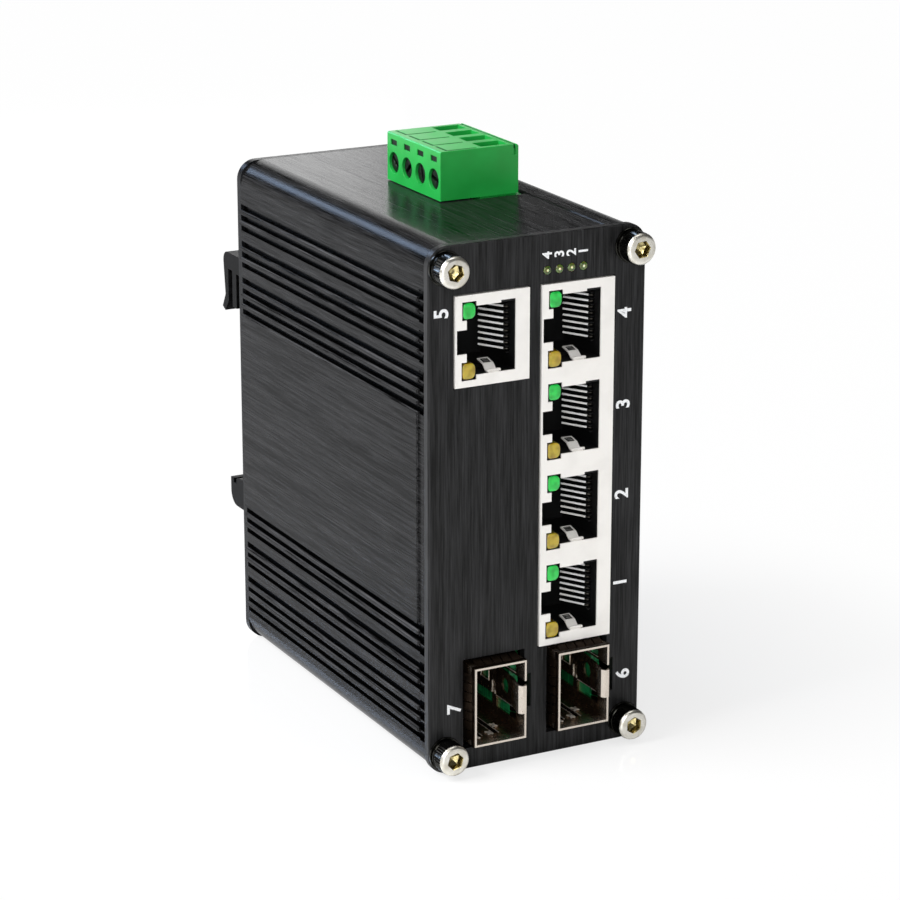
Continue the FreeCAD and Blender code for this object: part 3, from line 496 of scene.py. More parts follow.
@dataclass(frozen=True)
class BrushedAnodised(Finish):
    """Aluminium, brushed before a black dye anodising: dark, satin, with fine streaks one way.

    Attributes:
        colour: dye colour at the middle of the streaks.
        streak_colour: dye colour of the paler streaks.
        grain: direction of the brushing.
        streak_mm: width of a streak; the real 0.05 mm is drawn coarser so that it shows.
        length_mm: length of a streak.
        roughness: mean roughness.
        specular: specular level of the dyed oxide.
        relief_mm: depth of the streaks.
        broad: how much closer than the fine streaks the broad ones repeat, and their share.
        ribs: for a ribbed flank, the flank's distance from the middle, and the lowest and highest level
            of its ribs; between these levels shade is painted into the grooves and highlights onto the
            ribs' sloped edges.
        painted_rib_shade_and_highlight: how many times its colour each depth of a rib shows, by its share
            of the millimetre that reaches from the grooves' floor to past the ribs; below one it is painted
            shade, above one a painted highlight.
    """

    colour: str
    streak_colour: str
    grain: Axis
    streak_mm: float = 0.35
    length_mm: float = 14.0
    roughness: float = 0.34
    specular: float = 0.4
    relief_mm: float = 0.012
    broad: tuple[float, float] = (0.22, 0.36)
    ribs: tuple[float, float, float] | None = None
    painted_rib_shade_and_highlight: tuple[tuple[float, float], ...] = (
        (0.4, 0.06), (0.48, 1.0), (0.53, 1.0), (0.58, 3.4), (0.86, 3.4), (0.895, 1.0))

    def surface(self, tree: Tree, place: Socket) -> Socket:
        """Works out the surface: two scales of noise, drawn out along the grain.

        Args:
            tree: the material's node tree.
            place: the place on the object.

        Returns:
            The shader, with the noise in its colour, gloss and relief.
        """
        often, share = self.broad
        scale = [1 / (self.streak_mm * MM)] * 3
        scale[self.grain.value] = 1 / (self.length_mm * MM)
        fine_map = add_node(tree, "ShaderNodeMapping", {"Scale": scale}, {"Vector": place})
        fine = add_node(tree, "ShaderNodeTexNoise", {"Scale": 1.0, "Detail": 4.0, "Roughness": 0.6},
                        {"Vector": fine_map.outputs["Vector"]})
        broad_map = add_node(tree, "ShaderNodeMapping", {"Scale": [s * often for s in scale]},
                             {"Vector": place})
        broad = add_node(tree, "ShaderNodeTexNoise", {"Scale": 1.0, "Detail": 3.0, "Roughness": 0.55},
                         {"Vector": broad_map.outputs["Vector"]})
        both = add_node(tree, "ShaderNodeMix", {"data_type": "FLOAT", 0: share},
                        {2: fine.outputs["Fac"], 3: broad.outputs["Fac"]}).outputs[0]
        tint = add_node(tree, "ShaderNodeValToRGB",
                        {"stops": ((0.4, linear(self.colour)), (0.64, linear(self.streak_colour)))},
                        {"Fac": both}).outputs["Color"]
        # On a ribbed flank, painted shade darkens the grooves and painted highlights pale the ribs' sloped
        # edges.
        dye = self.paint_rib_shade_and_highlight(tree, place, tint) if self.ribs else tint
        return self.skin(tree, dye, (both, self.roughness - 0.07, self.roughness + 0.09),
                         (both, 0.6, self.relief_mm),
                         {"Metallic": 0.0, "IOR": 1.6, "Specular IOR Level": self.specular})

    def paint_rib_shade_and_highlight(self, tree: Tree, place: Socket, dye: Socket) -> Socket:
        """Paints shade into the grooves and highlights onto the ribs' sloped edges, by the distance from
        the middle.

        Args:
            tree: the material's node tree.
            place: the place on the object.
            dye: the colour so far.

        Returns:
            The colour, changed between the lowest and highest level of the ribs only.
        """
        flank, low, high = self.ribs
        most = 4.0  # the ramp holds shares of this, because its colours end at 1
        axes = add_node(tree, "ShaderNodeSeparateXYZ", links={"Vector": place})
        aside = add_node(tree, "ShaderNodeMath", {"operation": "ABSOLUTE"}, {0: axes.outputs["X"]})
        inset = add_node(tree, "ShaderNodeMapRange",
                         {"From Min": (flank - 0.5) * MM, "From Max": (flank + 0.5) * MM},
                         {"Value": aside.outputs["Value"]})
        stops = tuple((share, (times / most,) * 3 + (1.0,)) for share, times in self.painted_rib_shade_and_highlight)
        shade = add_node(tree, "ShaderNodeValToRGB", {"stops": stops}, {"Fac": inset.outputs["Result"]})
        inside = add_node(tree, "ShaderNodeMath",
                          {"operation": "COMPARE", 1: (low + high) / 2 * MM, 2: (high - low) / 2 * MM},
                          {0: axes.outputs["Z"]})
        changed = add_node(tree, "ShaderNodeVectorMath", {"operation": "SCALE", "Scale": most},
                           {0: shade.outputs["Color"]})
        mixed = add_node(tree, "ShaderNodeMix", {"data_type": "RGBA", "blend_type": "MULTIPLY"},
                         {0: inside.outputs["Value"], 6: dye, 7: changed.outputs["Vector"]})
        return mixed.outputs[2]


@dataclass(frozen=True)
class PlatedMetal(Finish):
    """Plated steel or copper alloy: metallic, with faint cloudy gloss and small handling marks.

    Attributes:
        colour: colour of the plate.
        stain_colour: colour of duller patches.
        roughness: mean roughness.
        patch_mm: size of the cloudy patches.
        metallic: share of metal; a low one stands for plate that scatters a soft box's light evenly.
        scratch_mm: width of the fine marks.
        stretch: how closely the marks repeat along each axis; a low share draws them out.
        relief_mm: depth of the fine marks.
    """

    colour: str
    stain_colour: str
    roughness: float = 0.25
    patch_mm: float = 2.5
    metallic: float = 1.0
    scratch_mm: float = 0.12
    stretch: tuple[float, float, float] = (1.0, 0.3, 0.08)
    relief_mm: float = 0.004

    def surface(self, tree: Tree, place: Socket) -> Socket:
        """Works out the surface: cloudy noise tints it and varies its gloss, stretched noise marks it.

        Args:
            tree: the material's node tree.
            place: the place on the object.

        Returns:
            The shader.
        """
        cloud = add_node(tree, "ShaderNodeTexNoise", {"Scale": 1 / (self.patch_mm * MM), "Detail": 5.0},
                         {"Vector": place}).outputs["Fac"]
        tint = add_node(tree, "ShaderNodeValToRGB",
                        {"stops": ((0.32, linear(self.stain_colour)), (0.55, linear(self.colour)))},
                        {"Fac": cloud})
        scale = [share / (self.scratch_mm * MM) for share in self.stretch]
        marks_map = add_node(tree, "ShaderNodeMapping", {"Scale": scale}, {"Vector": place})
        marks = add_node(tree, "ShaderNodeTexNoise", {"Scale": 1.0, "Detail": 2.0},
                         {"Vector": marks_map.outputs["Vector"]})
        return self.skin(tree, tint.outputs["Color"], (cloud, self.roughness + 0.1, self.roughness - 0.06),
                         (marks.outputs["Fac"], 0.5, self.relief_mm), {"Metallic": self.metallic})


@dataclass(frozen=True)
class StampedCage(Finish):
    """Nickel-plated copper alloy of a stamped cage: bright at the rolled rim, with painted shade that turns
    it brown deeper within.

    Attributes:
        rim_mm: depth of the rim along the case.
        rim_colour: colour of the plate at the rim.
        painted_shade_colour: painted shade of the plate deep inside, a dark brown.
        lip_mm: depth behind the rim that stays bright.
        fade_mm: depth over which one colour turns into the other.
        cloud_mm: size of the cloudy patches.
        drift_mm: how far the patches shift the border between the colours.
        roughness: mean roughness.
    """

    rim_mm: float
    rim_colour: str = "D6CCC0"
    painted_shade_colour: str = "86705A"
    lip_mm: float = 1.0
    fade_mm: float = 2.4
    cloud_mm: float = 2.0
    drift_mm: float = 1.6
    roughness: float = 0.24

    def surface(self, tree: Tree, place: Socket) -> Socket:
        """Works out the surface: colour follows the depth behind the rim as painted shade, shifted a little
        by cloudy noise.

        Args:
            tree: the material's node tree.
            place: the place on the object.

        Returns:
            The shader.
        """
        axes = add_node(tree, "ShaderNodeSeparateXYZ", links={"Vector": place})
        cloud = add_node(tree, "ShaderNodeTexNoise",
                         {"Scale": 1 / (self.cloud_mm * MM), "Detail": 4.0},
                         {"Vector": place}).outputs["Fac"]
        drift = add_node(tree, "ShaderNodeMath", {"operation": "MULTIPLY_ADD", 1: self.drift_mm * MM},
                         {0: cloud, 2: axes.outputs["Y"]})
        start = self.rim_mm + self.lip_mm
        depth = add_node(tree, "ShaderNodeMapRange",
                         {"From Min": start * MM, "From Max": (start + self.fade_mm) * MM},
                         {"Value": drift.outputs["Value"]})
        # Painted shade: from the rim's colour to dark brown deeper in the cage.
        tint = add_node(tree, "ShaderNodeValToRGB",
                        {"stops": ((0.0, linear(self.rim_colour)), (1.0, linear(self.painted_shade_colour)))},
                        {"Fac": depth.outputs["Result"]})
        return self.skin(tree, tint.outputs["Color"], (cloud, self.roughness + 0.08, self.roughness - 0.05),
                         (cloud, 0.4, 0.006), {"Metallic": 0.95})


@dataclass(frozen=True)
class MouldedPlastic(Finish):
    """Injection-moulded plastic: even colour, satin skin with a fine spark-eroded grain.

    Attributes:
        colour: main colour.
        shade_colour: slightly darker colour of flow marks.
        roughness: mean roughness.
        grain_mm: size of the grain.
        relief_mm: depth of the grain.
        flow_mm: size of the flow marks.
        glow: share of light that passes through thin walls.
        scatter_mm: how far light spreads under the skin.
        specular: specular level.
    """

    colour: str
    shade_colour: str
    roughness: float = 0.42
    grain_mm: float = 0.18
    relief_mm: float = 0.008
    flow_mm: float = 5.0
    glow: float = 0.0
    scatter_mm: float = 0.6
    specular: float = 0.5

    def surface(self, tree: Tree, place: Socket) -> Socket:
        """Works out the surface: broad flow marks in colour and gloss over a fine grain in relief.

        Args:
            tree: the material's node tree.
            place: the place on the object.

        Returns:
            The shader.
        """
        flow = add_node(tree, "ShaderNodeTexNoise", {"Scale": 1 / (self.flow_mm * MM), "Detail": 3.0},
                        {"Vector": place}).outputs["Fac"]
        tint = add_node(tree, "ShaderNodeValToRGB",
                        {"stops": ((0.3, linear(self.shade_colour)), (0.62, linear(self.colour)))},
                        {"Fac": flow})
        grain = add_node(tree, "ShaderNodeTexNoise", {"Scale": 1 / (self.grain_mm * MM), "Detail": 2.0},
                         {"Vector": place})
        return self.skin(tree, tint.outputs["Color"], (flow, self.roughness - 0.05, self.roughness + 0.06),
                         (grain.outputs["Fac"], 0.5, self.relief_mm),
                         {"IOR": 1.5, "Specular IOR Level": self.specular,
                          "Subsurface Weight": self.glow, "Subsurface Scale": self.scatter_mm * MM})


@dataclass(frozen=True)
class TintedResin(Finish):
    """Clear dyed resin of a light guide: bright where thin, glossy, with light scattered inside.

    Attributes:
        colour: colour of the dye.
        deep_colour: colour where the dye is thick.
        glow: strength of its own light, a painted glow.
        cloud_mm: size of the cloudy patches.
        scatter_mm: how far light spreads under the skin.
    """

    colour: str
    deep_colour: str
    glow: float = 0.0
    cloud_mm: float = 1.4
    scatter_mm: float = 0.8

    def surface(self, tree: Tree, place: Socket) -> Socket:
        """Works out the surface: soft cloudy depth in the colour, under a polished skin, with its painted
        glow.

        Args:
            tree: the material's node tree.
            place: the place on the object.

        Returns:
            The shader.
        """
        cloud = add_node(tree, "ShaderNodeTexNoise",
                         {"Scale": 1 / (self.cloud_mm * MM), "Detail": 1.5}, {"Vector": place})
        tint = add_node(tree, "ShaderNodeValToRGB",
                        {"stops": ((0.3, linear(self.deep_colour)), (0.6, linear(self.colour)))},
                        {"Fac": cloud.outputs["Fac"]})
        shader = add_node(tree, "ShaderNodeBsdfPrincipled",
                          {"Roughness": 0.16, "IOR": 1.5, "Subsurface Weight": 0.5,
                           "Subsurface Scale": self.scatter_mm * MM,
                           "Coat Weight": 0.4, "Coat Roughness": 0.06,
                           "Emission Color": linear(self.colour), "Emission Strength": self.glow},
                          {"Base Color": tint.outputs["Color"]})
        return shader.outputs["BSDF"]


@dataclass(frozen=True)
class SolderMask(Finish):
    """Glass-epoxy board under green solder mask: glossy, with paler copper tracks and pads beneath.

    Attributes:
        mask: colour over bare board.
        track: colour over copper.
        pitch_mm: spacing of the tracks.
        cell: size of the pattern's cells in pitches.
        fold: share of a cell after which its lines repeat.
        copper_mm: height of the copper under the mask.
    """

    mask: str
    track: str
    pitch_mm: float = 1.27
    cell: float = 2.6
    fold: float = 0.11
    copper_mm: float = 0.035

    def surface(self, tree: Tree, place: Socket) -> Socket:
        """Works out the surface: straight borders of a cell pattern stand for tracks and lift the mask.

        Args:
            tree: the material's node tree.
            place: the place on the object.

        Returns:
            The shader.
        """
        scale = [1 / (self.pitch_mm * self.cell * MM)] * 3
        cells_map = add_node(tree, "ShaderNodeMapping", {"Scale": scale}, {"Vector": place})
        cells = add_node(tree, "ShaderNodeTexVoronoi", {"distance": "CHEBYCHEV", "Scale": 1.0},
                         {"Vector": cells_map.outputs["Vector"]})
        lines = add_node(tree, "ShaderNodeMath", {"operation": "PINGPONG", 1: self.fold},
                         {0: cells.outputs["Distance"]})
        tint = add_node(tree, "ShaderNodeValToRGB",
                        {"stops": ((0.045, linear(self.mask)), (0.07, linear(self.track)))},
                        {"Fac": lines.outputs["Value"]}).outputs["Color"]
        relief = add_node(tree, "ShaderNodeBump", {"Strength": 0.5, "Distance": self.copper_mm * MM},
                          {"Height": tint})
        shader = add_node(tree, "ShaderNodeBsdfPrincipled", {"Roughness": 0.3, "IOR": 1.5},
                          {"Base Color": tint, "Normal": relief.outputs["Normal"]})
        return shader.outputs["BSDF"]


@dataclass(frozen=True)
class ScreenInk(Finish):
    """White screen-printed ink: a thin matt film, a little uneven where the mesh lifted.

    Attributes:
        colour: colour of the ink.
        thin_colour: colour where the film is thin.
        mottle_mm: size of the mottling.
    """

    colour: str
    thin_colour: str
    mottle_mm: float = 0.3

    def surface(self, tree: Tree, place: Socket) -> Socket:
        """Works out the surface: faint mottling in the colour.

        Args:
            tree: the material's node tree.
            place: the place on the object.

        Returns:
            The shader.
        """
        mottle = add_node(tree, "ShaderNodeTexNoise", {"Scale": 1 / (self.mottle_mm * MM), "Detail": 3.0},
                          {"Vector": place})
        tint = add_node(tree, "ShaderNodeValToRGB",
                        {"stops": ((0.2, linear(self.thin_colour)), (0.5, linear(self.colour)))},
                        {"Fac": mottle.outputs["Fac"]})
        shader = add_node(tree, "ShaderNodeBsdfPrincipled", {"Roughness": 0.6, "IOR": 1.5},
                          {"Base Color": tint.outputs["Color"]})
        return shader.outputs["BSDF"]


@dataclass(frozen=True)
class BlackVelvet(Finish):
    """Black cloth hung round the set, which gloss alone sees: an even, very dark glow.

    Attributes:
        brightness: how bright it looks in a reflection.
    """

    brightness: float

    def surface(self, tree: Tree, place: Socket) -> Socket:
        """Works out the surface: an even glow.

        Args:
            tree: the material's node tree.
            place: the place on the object, which an even glow doesn't need.

        Returns:
            The shader.
        """
        return add_node(tree, "ShaderNodeEmission",
                        {"Color": WHITE, "Strength": self.brightness}).outputs["Emission"]


@dataclass(frozen=True)
class PaperSweep(Finish):
    """White paper with a faint gloss, lifted towards white for the eye, least so close to the object.

    Attributes:
        colour: colour of the paper.
        near: distance in metres up to which the lift is least, and the lift there.
        far: distance from which it is greatest, and the lift there.
    """

    colour: str
    near: tuple[float, float]
    far: tuple[float, float]

    def surface(self, tree: Tree, place: Socket) -> Socket:
        """Works out the surface: paper mixed with plain white by the lift, on camera rays only.

        Args:
            tree: the material's node tree.
            place: the place on the floor.

        Returns:
            The shader.
        """
        path = add_node(tree, "ShaderNodeLightPath")
        paper = add_node(tree, "ShaderNodeBsdfPrincipled",
                         {"Base Color": linear(self.colour), "Roughness": 0.07, "Specular IOR Level": 0.8})
        white = add_node(tree, "ShaderNodeEmission", {"Color": WHITE, "Strength": 1.0})
        reach = add_node(tree, "ShaderNodeVectorMath", {"operation": "LENGTH"}, {0: place})
        lift = add_node(tree, "ShaderNodeMapRange",
                        {"From Min": self.near[0], "From Max": self.far[0],
                         "To Min": self.near[1], "To Max": self.far[1]},
                        {"Value": reach.outputs["Value"]})
        share = add_node(tree, "ShaderNodeMath", {"operation": "MULTIPLY"},
                         {0: path.outputs["Is Camera Ray"], 1: lift.outputs["Result"]})
        mix = add_node(tree, "ShaderNodeMixShader",
                       links={0: share.outputs["Value"], 1: paper.outputs["BSDF"],
                              2: white.outputs["Emission"]})
        return mix.outputs["Shader"]


# Black anodised aluminium: brushed along the case on its flanks, upright on its plates, plain on the
# bracket. The streaks give the flanks their silky sheen; on the ribbed flank, shade is painted into the
# grooves and highlights onto the ribs' sloped edges.
ANODISED_SIDE = BrushedAnodised("black_anodised_brushed_side_painted_rib_light", "050505", "2D2D2E", Axis.DEPTH, 0.17, 8.0,
                                0.22, 0.04, 0.034, ribs=(20.25, 4.5, 86.0))
ANODISED_FRONT = BrushedAnodised("black_anodised_brushed_front", "050505", "2E2E2F", Axis.HEIGHT, 0.24, 8.0,
                                 0.34, 0.15, 0.03)
ANODISED_REAR = BrushedAnodised("black_anodised_brushed_rear", "050506", "222325", Axis.HEIGHT, 0.24, 8.0,
                                0.34, 0.08, 0.03)
ANODISED_BRACKET = BrushedAnodised("black_anodised_extruded_bracket", "060606", "161617", Axis.WIDTH, 0.6,
                                   roughness=0.42, specular=0.04)
# Plated steel of the fasteners: pale satin faces, oily brown sockets, and barrels and washers painted dark,
# a painted reflection of the dark metal round them.
NICKEL_FACE = PlatedMetal("nickel_plated_screw_face", "E2DFD6", "CFCABC", 0.32, 1.5)
OILED_SOCKET = PlatedMetal("oiled_screw_socket", "BDB080", "4C4224", 0.22, 0.8)
SHADED_BARREL = PlatedMetal("knurled_screw_barrel_painted_reflection", "33332F", "151514", 0.18, 1.2)
# Clamp screws and test contacts are painted dark green: painted shade in the plug's holes with a painted
# reflection of the green walls.
CLAMP_STEEL_PAINTED_SHADE = PlatedMetal("clamp_steel_painted_shade_and_green_reflection", "0F1A12", "080C09", 0.4, metallic=0.5)
BLACK_STEEL = PlatedMetal("black_oxide_steel", "151516", "0D0D0E", 0.36, metallic=0.6)
SPRING_STEEL = PlatedMetal("drawn_spring_steel", "A9A9A6", "7E7D79", 0.3)
# Sheet and wire of the sockets: bright tin plate, contacts painted white as a painted glint and painted
# dark past the bend as painted shade, dark collars.
TIN_PLATE = PlatedMetal("tin_plated_steel", "F6F3EE", "F0EDE8", 0.42, 4.0, 0.25)
BRIGHT_CONTACT = PlatedMetal("contact_wire_painted_glint", "FFFFFF", "FAF8F3", 0.3, metallic=0.0)
SHADED_CONTACT = PlatedMetal("contact_wire_painted_shade", "4E4B45", "34322E", 0.4)
CAGE_EDGE = PlatedMetal("nickel_plated_cut_edge", "E4DFD6", "C4BDB2", 0.3, 1.5, 0.6)
COLLAR_METAL = PlatedMetal("dull_spring_bronze", "2A211A", "130F0C", 0.42, 1.5)
TIN_BRASS = PlatedMetal("tin_plated_brass", "D8D6CC", "A8A596", 0.3)
DRAWN_CAN = PlatedMetal("drawn_aluminium_can", "C4C6C9", "9A9C9F", 0.3)
# Mouldings: matt black nylon, grey-black epoxy and ferrite, vivid satin green for the power terminal.
BLACK_NYLON = MouldedPlastic("black_moulded_nylon", "0C0C0D", "080808", 0.5, specular=0.3)
CHIP_EPOXY = MouldedPlastic("moulded_chip_epoxy", "1B1B1B", "121212", 0.6, grain_mm=0.1)
FERRITE = MouldedPlastic("sintered_ferrite", "2A2A2C", "1B1B1C", 0.65, relief_mm=0.02)
GREEN_NYLON = MouldedPlastic("green_moulded_nylon", "1FA845", "1A9C3D", 0.34, glow=0.04)
# Dark green strips in the plug's seams are painted shade.
SEAM_PAINTED_SHADE = MouldedPlastic("dark_green_painted_seam_shade", "0C4A20", "093818", 0.6, specular=0.2)
# Dyed clear resin of the lamps: faces with a painted glow and edges in painted shade, and olive domes whose
# pale middle has a painted glow.
GREEN_RESIN = TintedResin("green_tinted_resin_painted_glow", "18C44A", "0B9A34", 0.12)
GREEN_EDGE = TintedResin("green_resin_in_the_shade", "0A5A24", "063C18")
AMBER_RESIN = TintedResin("amber_tinted_resin_painted_glow", "B8A22C", "8F7A16", 0.04)
AMBER_EDGE = TintedResin("amber_resin_in_the_shade", "6A5A12", "463A0A")
DARK_RESIN = TintedResin("dark_olive_tinted_resin", "5A6A2C", "2C4018")
LIT_RESIN = TintedResin("pale_olive_resin_painted_glow", "E6EAC0", "C4CA90", 0.1)
# The boards' glossy green, and the crisp matt white of the printed numbers.
BOARD_MASK = SolderMask("green_solder_mask", "0B5A30", "1E8A50")
WHITE_INK = ScreenInk("white_screen_ink", "F2F3F4", "BFC1C2")
# The studio: nearly black cloth that gives the anodising its dark sheen, paper that takes a soft shadow.
VELVET = BlackVelvet("black_velvet", 0.05)
PAPER = PaperSweep("white_paper_sweep", "F4F4F4", (0.045, 0.74), (0.11, 0.98))


@dataclass
class FinishShelf:
    """Builds each finish once and dresses nodes and new pieces with it.

    Attributes:
        made: materials by the name of their finish.
    """

    made: dict[str, Material] = field(default_factory=dict)

    def material(self, finish: Finish) -> Material:
        """Finds or builds a finish's material.

        Args:
            finish: the finish.

        Returns:
            Its material.
        """
        if finish.name not in self.made:
            self.made[finish.name] = finish.build()
        return self.made[finish.name]

    def dress(self, piece: Object, finish: Finish) -> None:
        """Puts a finish on every face of a piece.

        Args:
            piece: a solid of the frame or a new piece.
            finish: the finish.
        """
        material = self.material(finish)
        if not piece.material_slots:
            piece.data.materials.append(material)
        for slot in piece.material_slots:
            slot.material = material
        log.info("%s: %s", piece.name, finish.name)

    def coat(self, piece: Object, *finishes: Finish) -> None:
        """Gives a new piece its finishes, in the order of its face marks.

        Args:
            piece: the piece.
            finishes: one finish for each mark.
        """
        for finish in finishes:
            piece.data.materials.append(self.material(finish))
        log.info("%s: %s", piece.name, ", ".join(finish.name for finish in finishes))

    def dress_nodes(self, finishes: dict[str, Finish]) -> None:
        """Dresses solids of the frame.

        Args:
            finishes: the finish of each node by its name.
        """
        for node, finish in finishes.items():
            self.dress(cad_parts[node], finish)


# ---------------------------------------------------------------- sub-assemblies
@dataclass
class Case:
    """The extruded case with its end plates, screws and washers. Sizes in millimetres.

    Attributes:
        screw_in: screw centres from the plates' sides and from their top and bottom.
        head: height of a cap screw's head.
        lock: thickness of a split washer.
        flat: thickness of a plain washer.
        washer_radii: radius of the washers' hole, of a split washer and of a plain one.
        split: chamfer of a split washer, how far its ends part, and the angle of its split.
        turns: how far round each screw came to rest, in degrees.
    """

    screw_in: tuple[float, float] = (3.0, 3.6)
    head: float = 3.0
    lock: float = 0.6
    flat: float = 0.4
    washer_radii: tuple[float, float, float] = (1.65, 2.72, 2.98)
    split: tuple[float, float, float] = (0.06, 0.12, 9.0)
    turns: tuple[float, ...] = (14.0, 43.0, 27.0, 6.0)

    def dress(self, shelf: FinishShelf) -> None:
        """Dresses the case's solids and builds its fasteners.

        Args:
            shelf: the finishes.
        """
        shelf.dress_nodes({
            "finned_shell": ANODISED_SIDE, "side_cover": ANODISED_SIDE, "front_plate": ANODISED_FRONT,
            "rear_plate": ANODISED_REAR,
        })
        self.cap_screws(shelf)
        self.washers(shelf)
        self.rear_screws(shelf)

    def screw_places(self, plate: str) -> list[tuple[float, float]]:
        """Finds the four screws of a plate.

        Args:
            plate: the plate's node.

        Returns:
            Their X and Z.
        """
        low, high = box_mm(plate)
        across, up = self.screw_in
        return [(x, z) for x in (low[0] + across, high[0] - across) for z in (low[2] + up, high[2] - up)]

    def cap_screws(self, shelf: FinishShelf) -> None:
        """Builds the knurled cap screws: bright face, oiled socket, and a barrel painted dark as a painted
        reflection of the black plate and its shade.

        Args:
            shelf: the finishes.
        """
        face = box_mm("front_plate")[0][1] - self.head - self.lock - self.flat
        # Rows of the socket, then of the face, then of the barrel with its painted dark reflection.
        marks = np.array([1] * 5 + [0] * 6 + [2] * 10)
        skin = Skin()
        for (x, z), turn in zip(self.screw_places("front_plate"), self.turns):
            skin.wrap(CAP_SCREW.points((x, face, z), turn), marks)
        piece = add_piece("cap_screws", skin.mesh("cap_screws"), "switch", "plated_steel", "front_screws")
        shelf.coat(piece, NICKEL_FACE, OILED_SOCKET, SHADED_BARREL)

    def washers(self, shelf: FinishShelf) -> None:
        """Builds the split and plain washers.

        Args:
            shelf: the finishes.
        """
        plate = box_mm("front_plate")[0][1]
        split, plain = Skin(), Skin()
        hole, lock_edge, flat_edge = self.washer_radii
        for x, z in self.screw_places("front_plate"):
            middle = (x, plate - self.flat - self.lock, z)
            split.wrap(washer_points(middle, hole, lock_edge, self.lock, *self.split))
            plain.wrap(washer_points((x, plate - self.flat, z), hole, flat_edge, self.flat, 0.08))
        for name, skin, node in (("split_washers", split, "front_lock_washers"),
                                 ("plain_washers", plain, "front_flat_washers")):
            piece = add_piece(name, skin.mesh(name), "switch", "plated_steel", node)
            # The washers get the barrels' painted dark reflection.
            shelf.coat(piece, SHADED_BARREL)

    def rear_screws(self, shelf: FinishShelf) -> None:
        """Builds the countersunk screws of the rear plate.

        Args:
            shelf: the finishes.
        """
        face = box_mm("rear_plate")[1][1]
        skin = Skin()
        for (x, z), turn in zip(self.screw_places("rear_plate"), self.turns):
            skin.wrap(COUNTERSUNK.points((x, face, z), turn, -1.0))
        piece = add_piece("rear_plate_screws", skin.mesh("rear_plate_screws"), "switch", "black_steel",
                          "rear_screws")
        shelf.coat(piece, BLACK_STEEL)


@dataclass
class RailMount:
    """The bracket on the back with its spring and screws. Sizes in millimetres.

    Attributes:
        edge: rounding of the bracket's edges.
        head_radius: radius of a countersunk head.
    """

    edge: float = 0.2
    head_radius: float = 2.75

    def dress(self, shelf: FinishShelf) -> None:
        """Dresses the spring, rounds the bracket and builds its screws.

        Args:
            shelf: the finishes.
        """
        shelf.dress_nodes({"rail_spring": SPRING_STEEL})
        bracket = bevelled_copy("rail_bracket", "switch", "black_anodised", self.edge)
        shelf.coat(bracket, ANODISED_BRACKET)
        low, high = box_mm("bracket_screws")
        skin = Skin()
        for z, turn in ((low[2] + self.head_radius, 20.0), (high[2] - self.head_radius, 64.0)):
            skin.wrap(COUNTERSUNK.points(((low[0] + high[0]) / 2, high[1], z), turn, -1.0))
        piece = add_piece("rail_bracket_screws", skin.mesh("rail_bracket_screws"), "switch", "black_steel",
                          "bracket_screws")
        shelf.coat(piece, BLACK_STEEL)


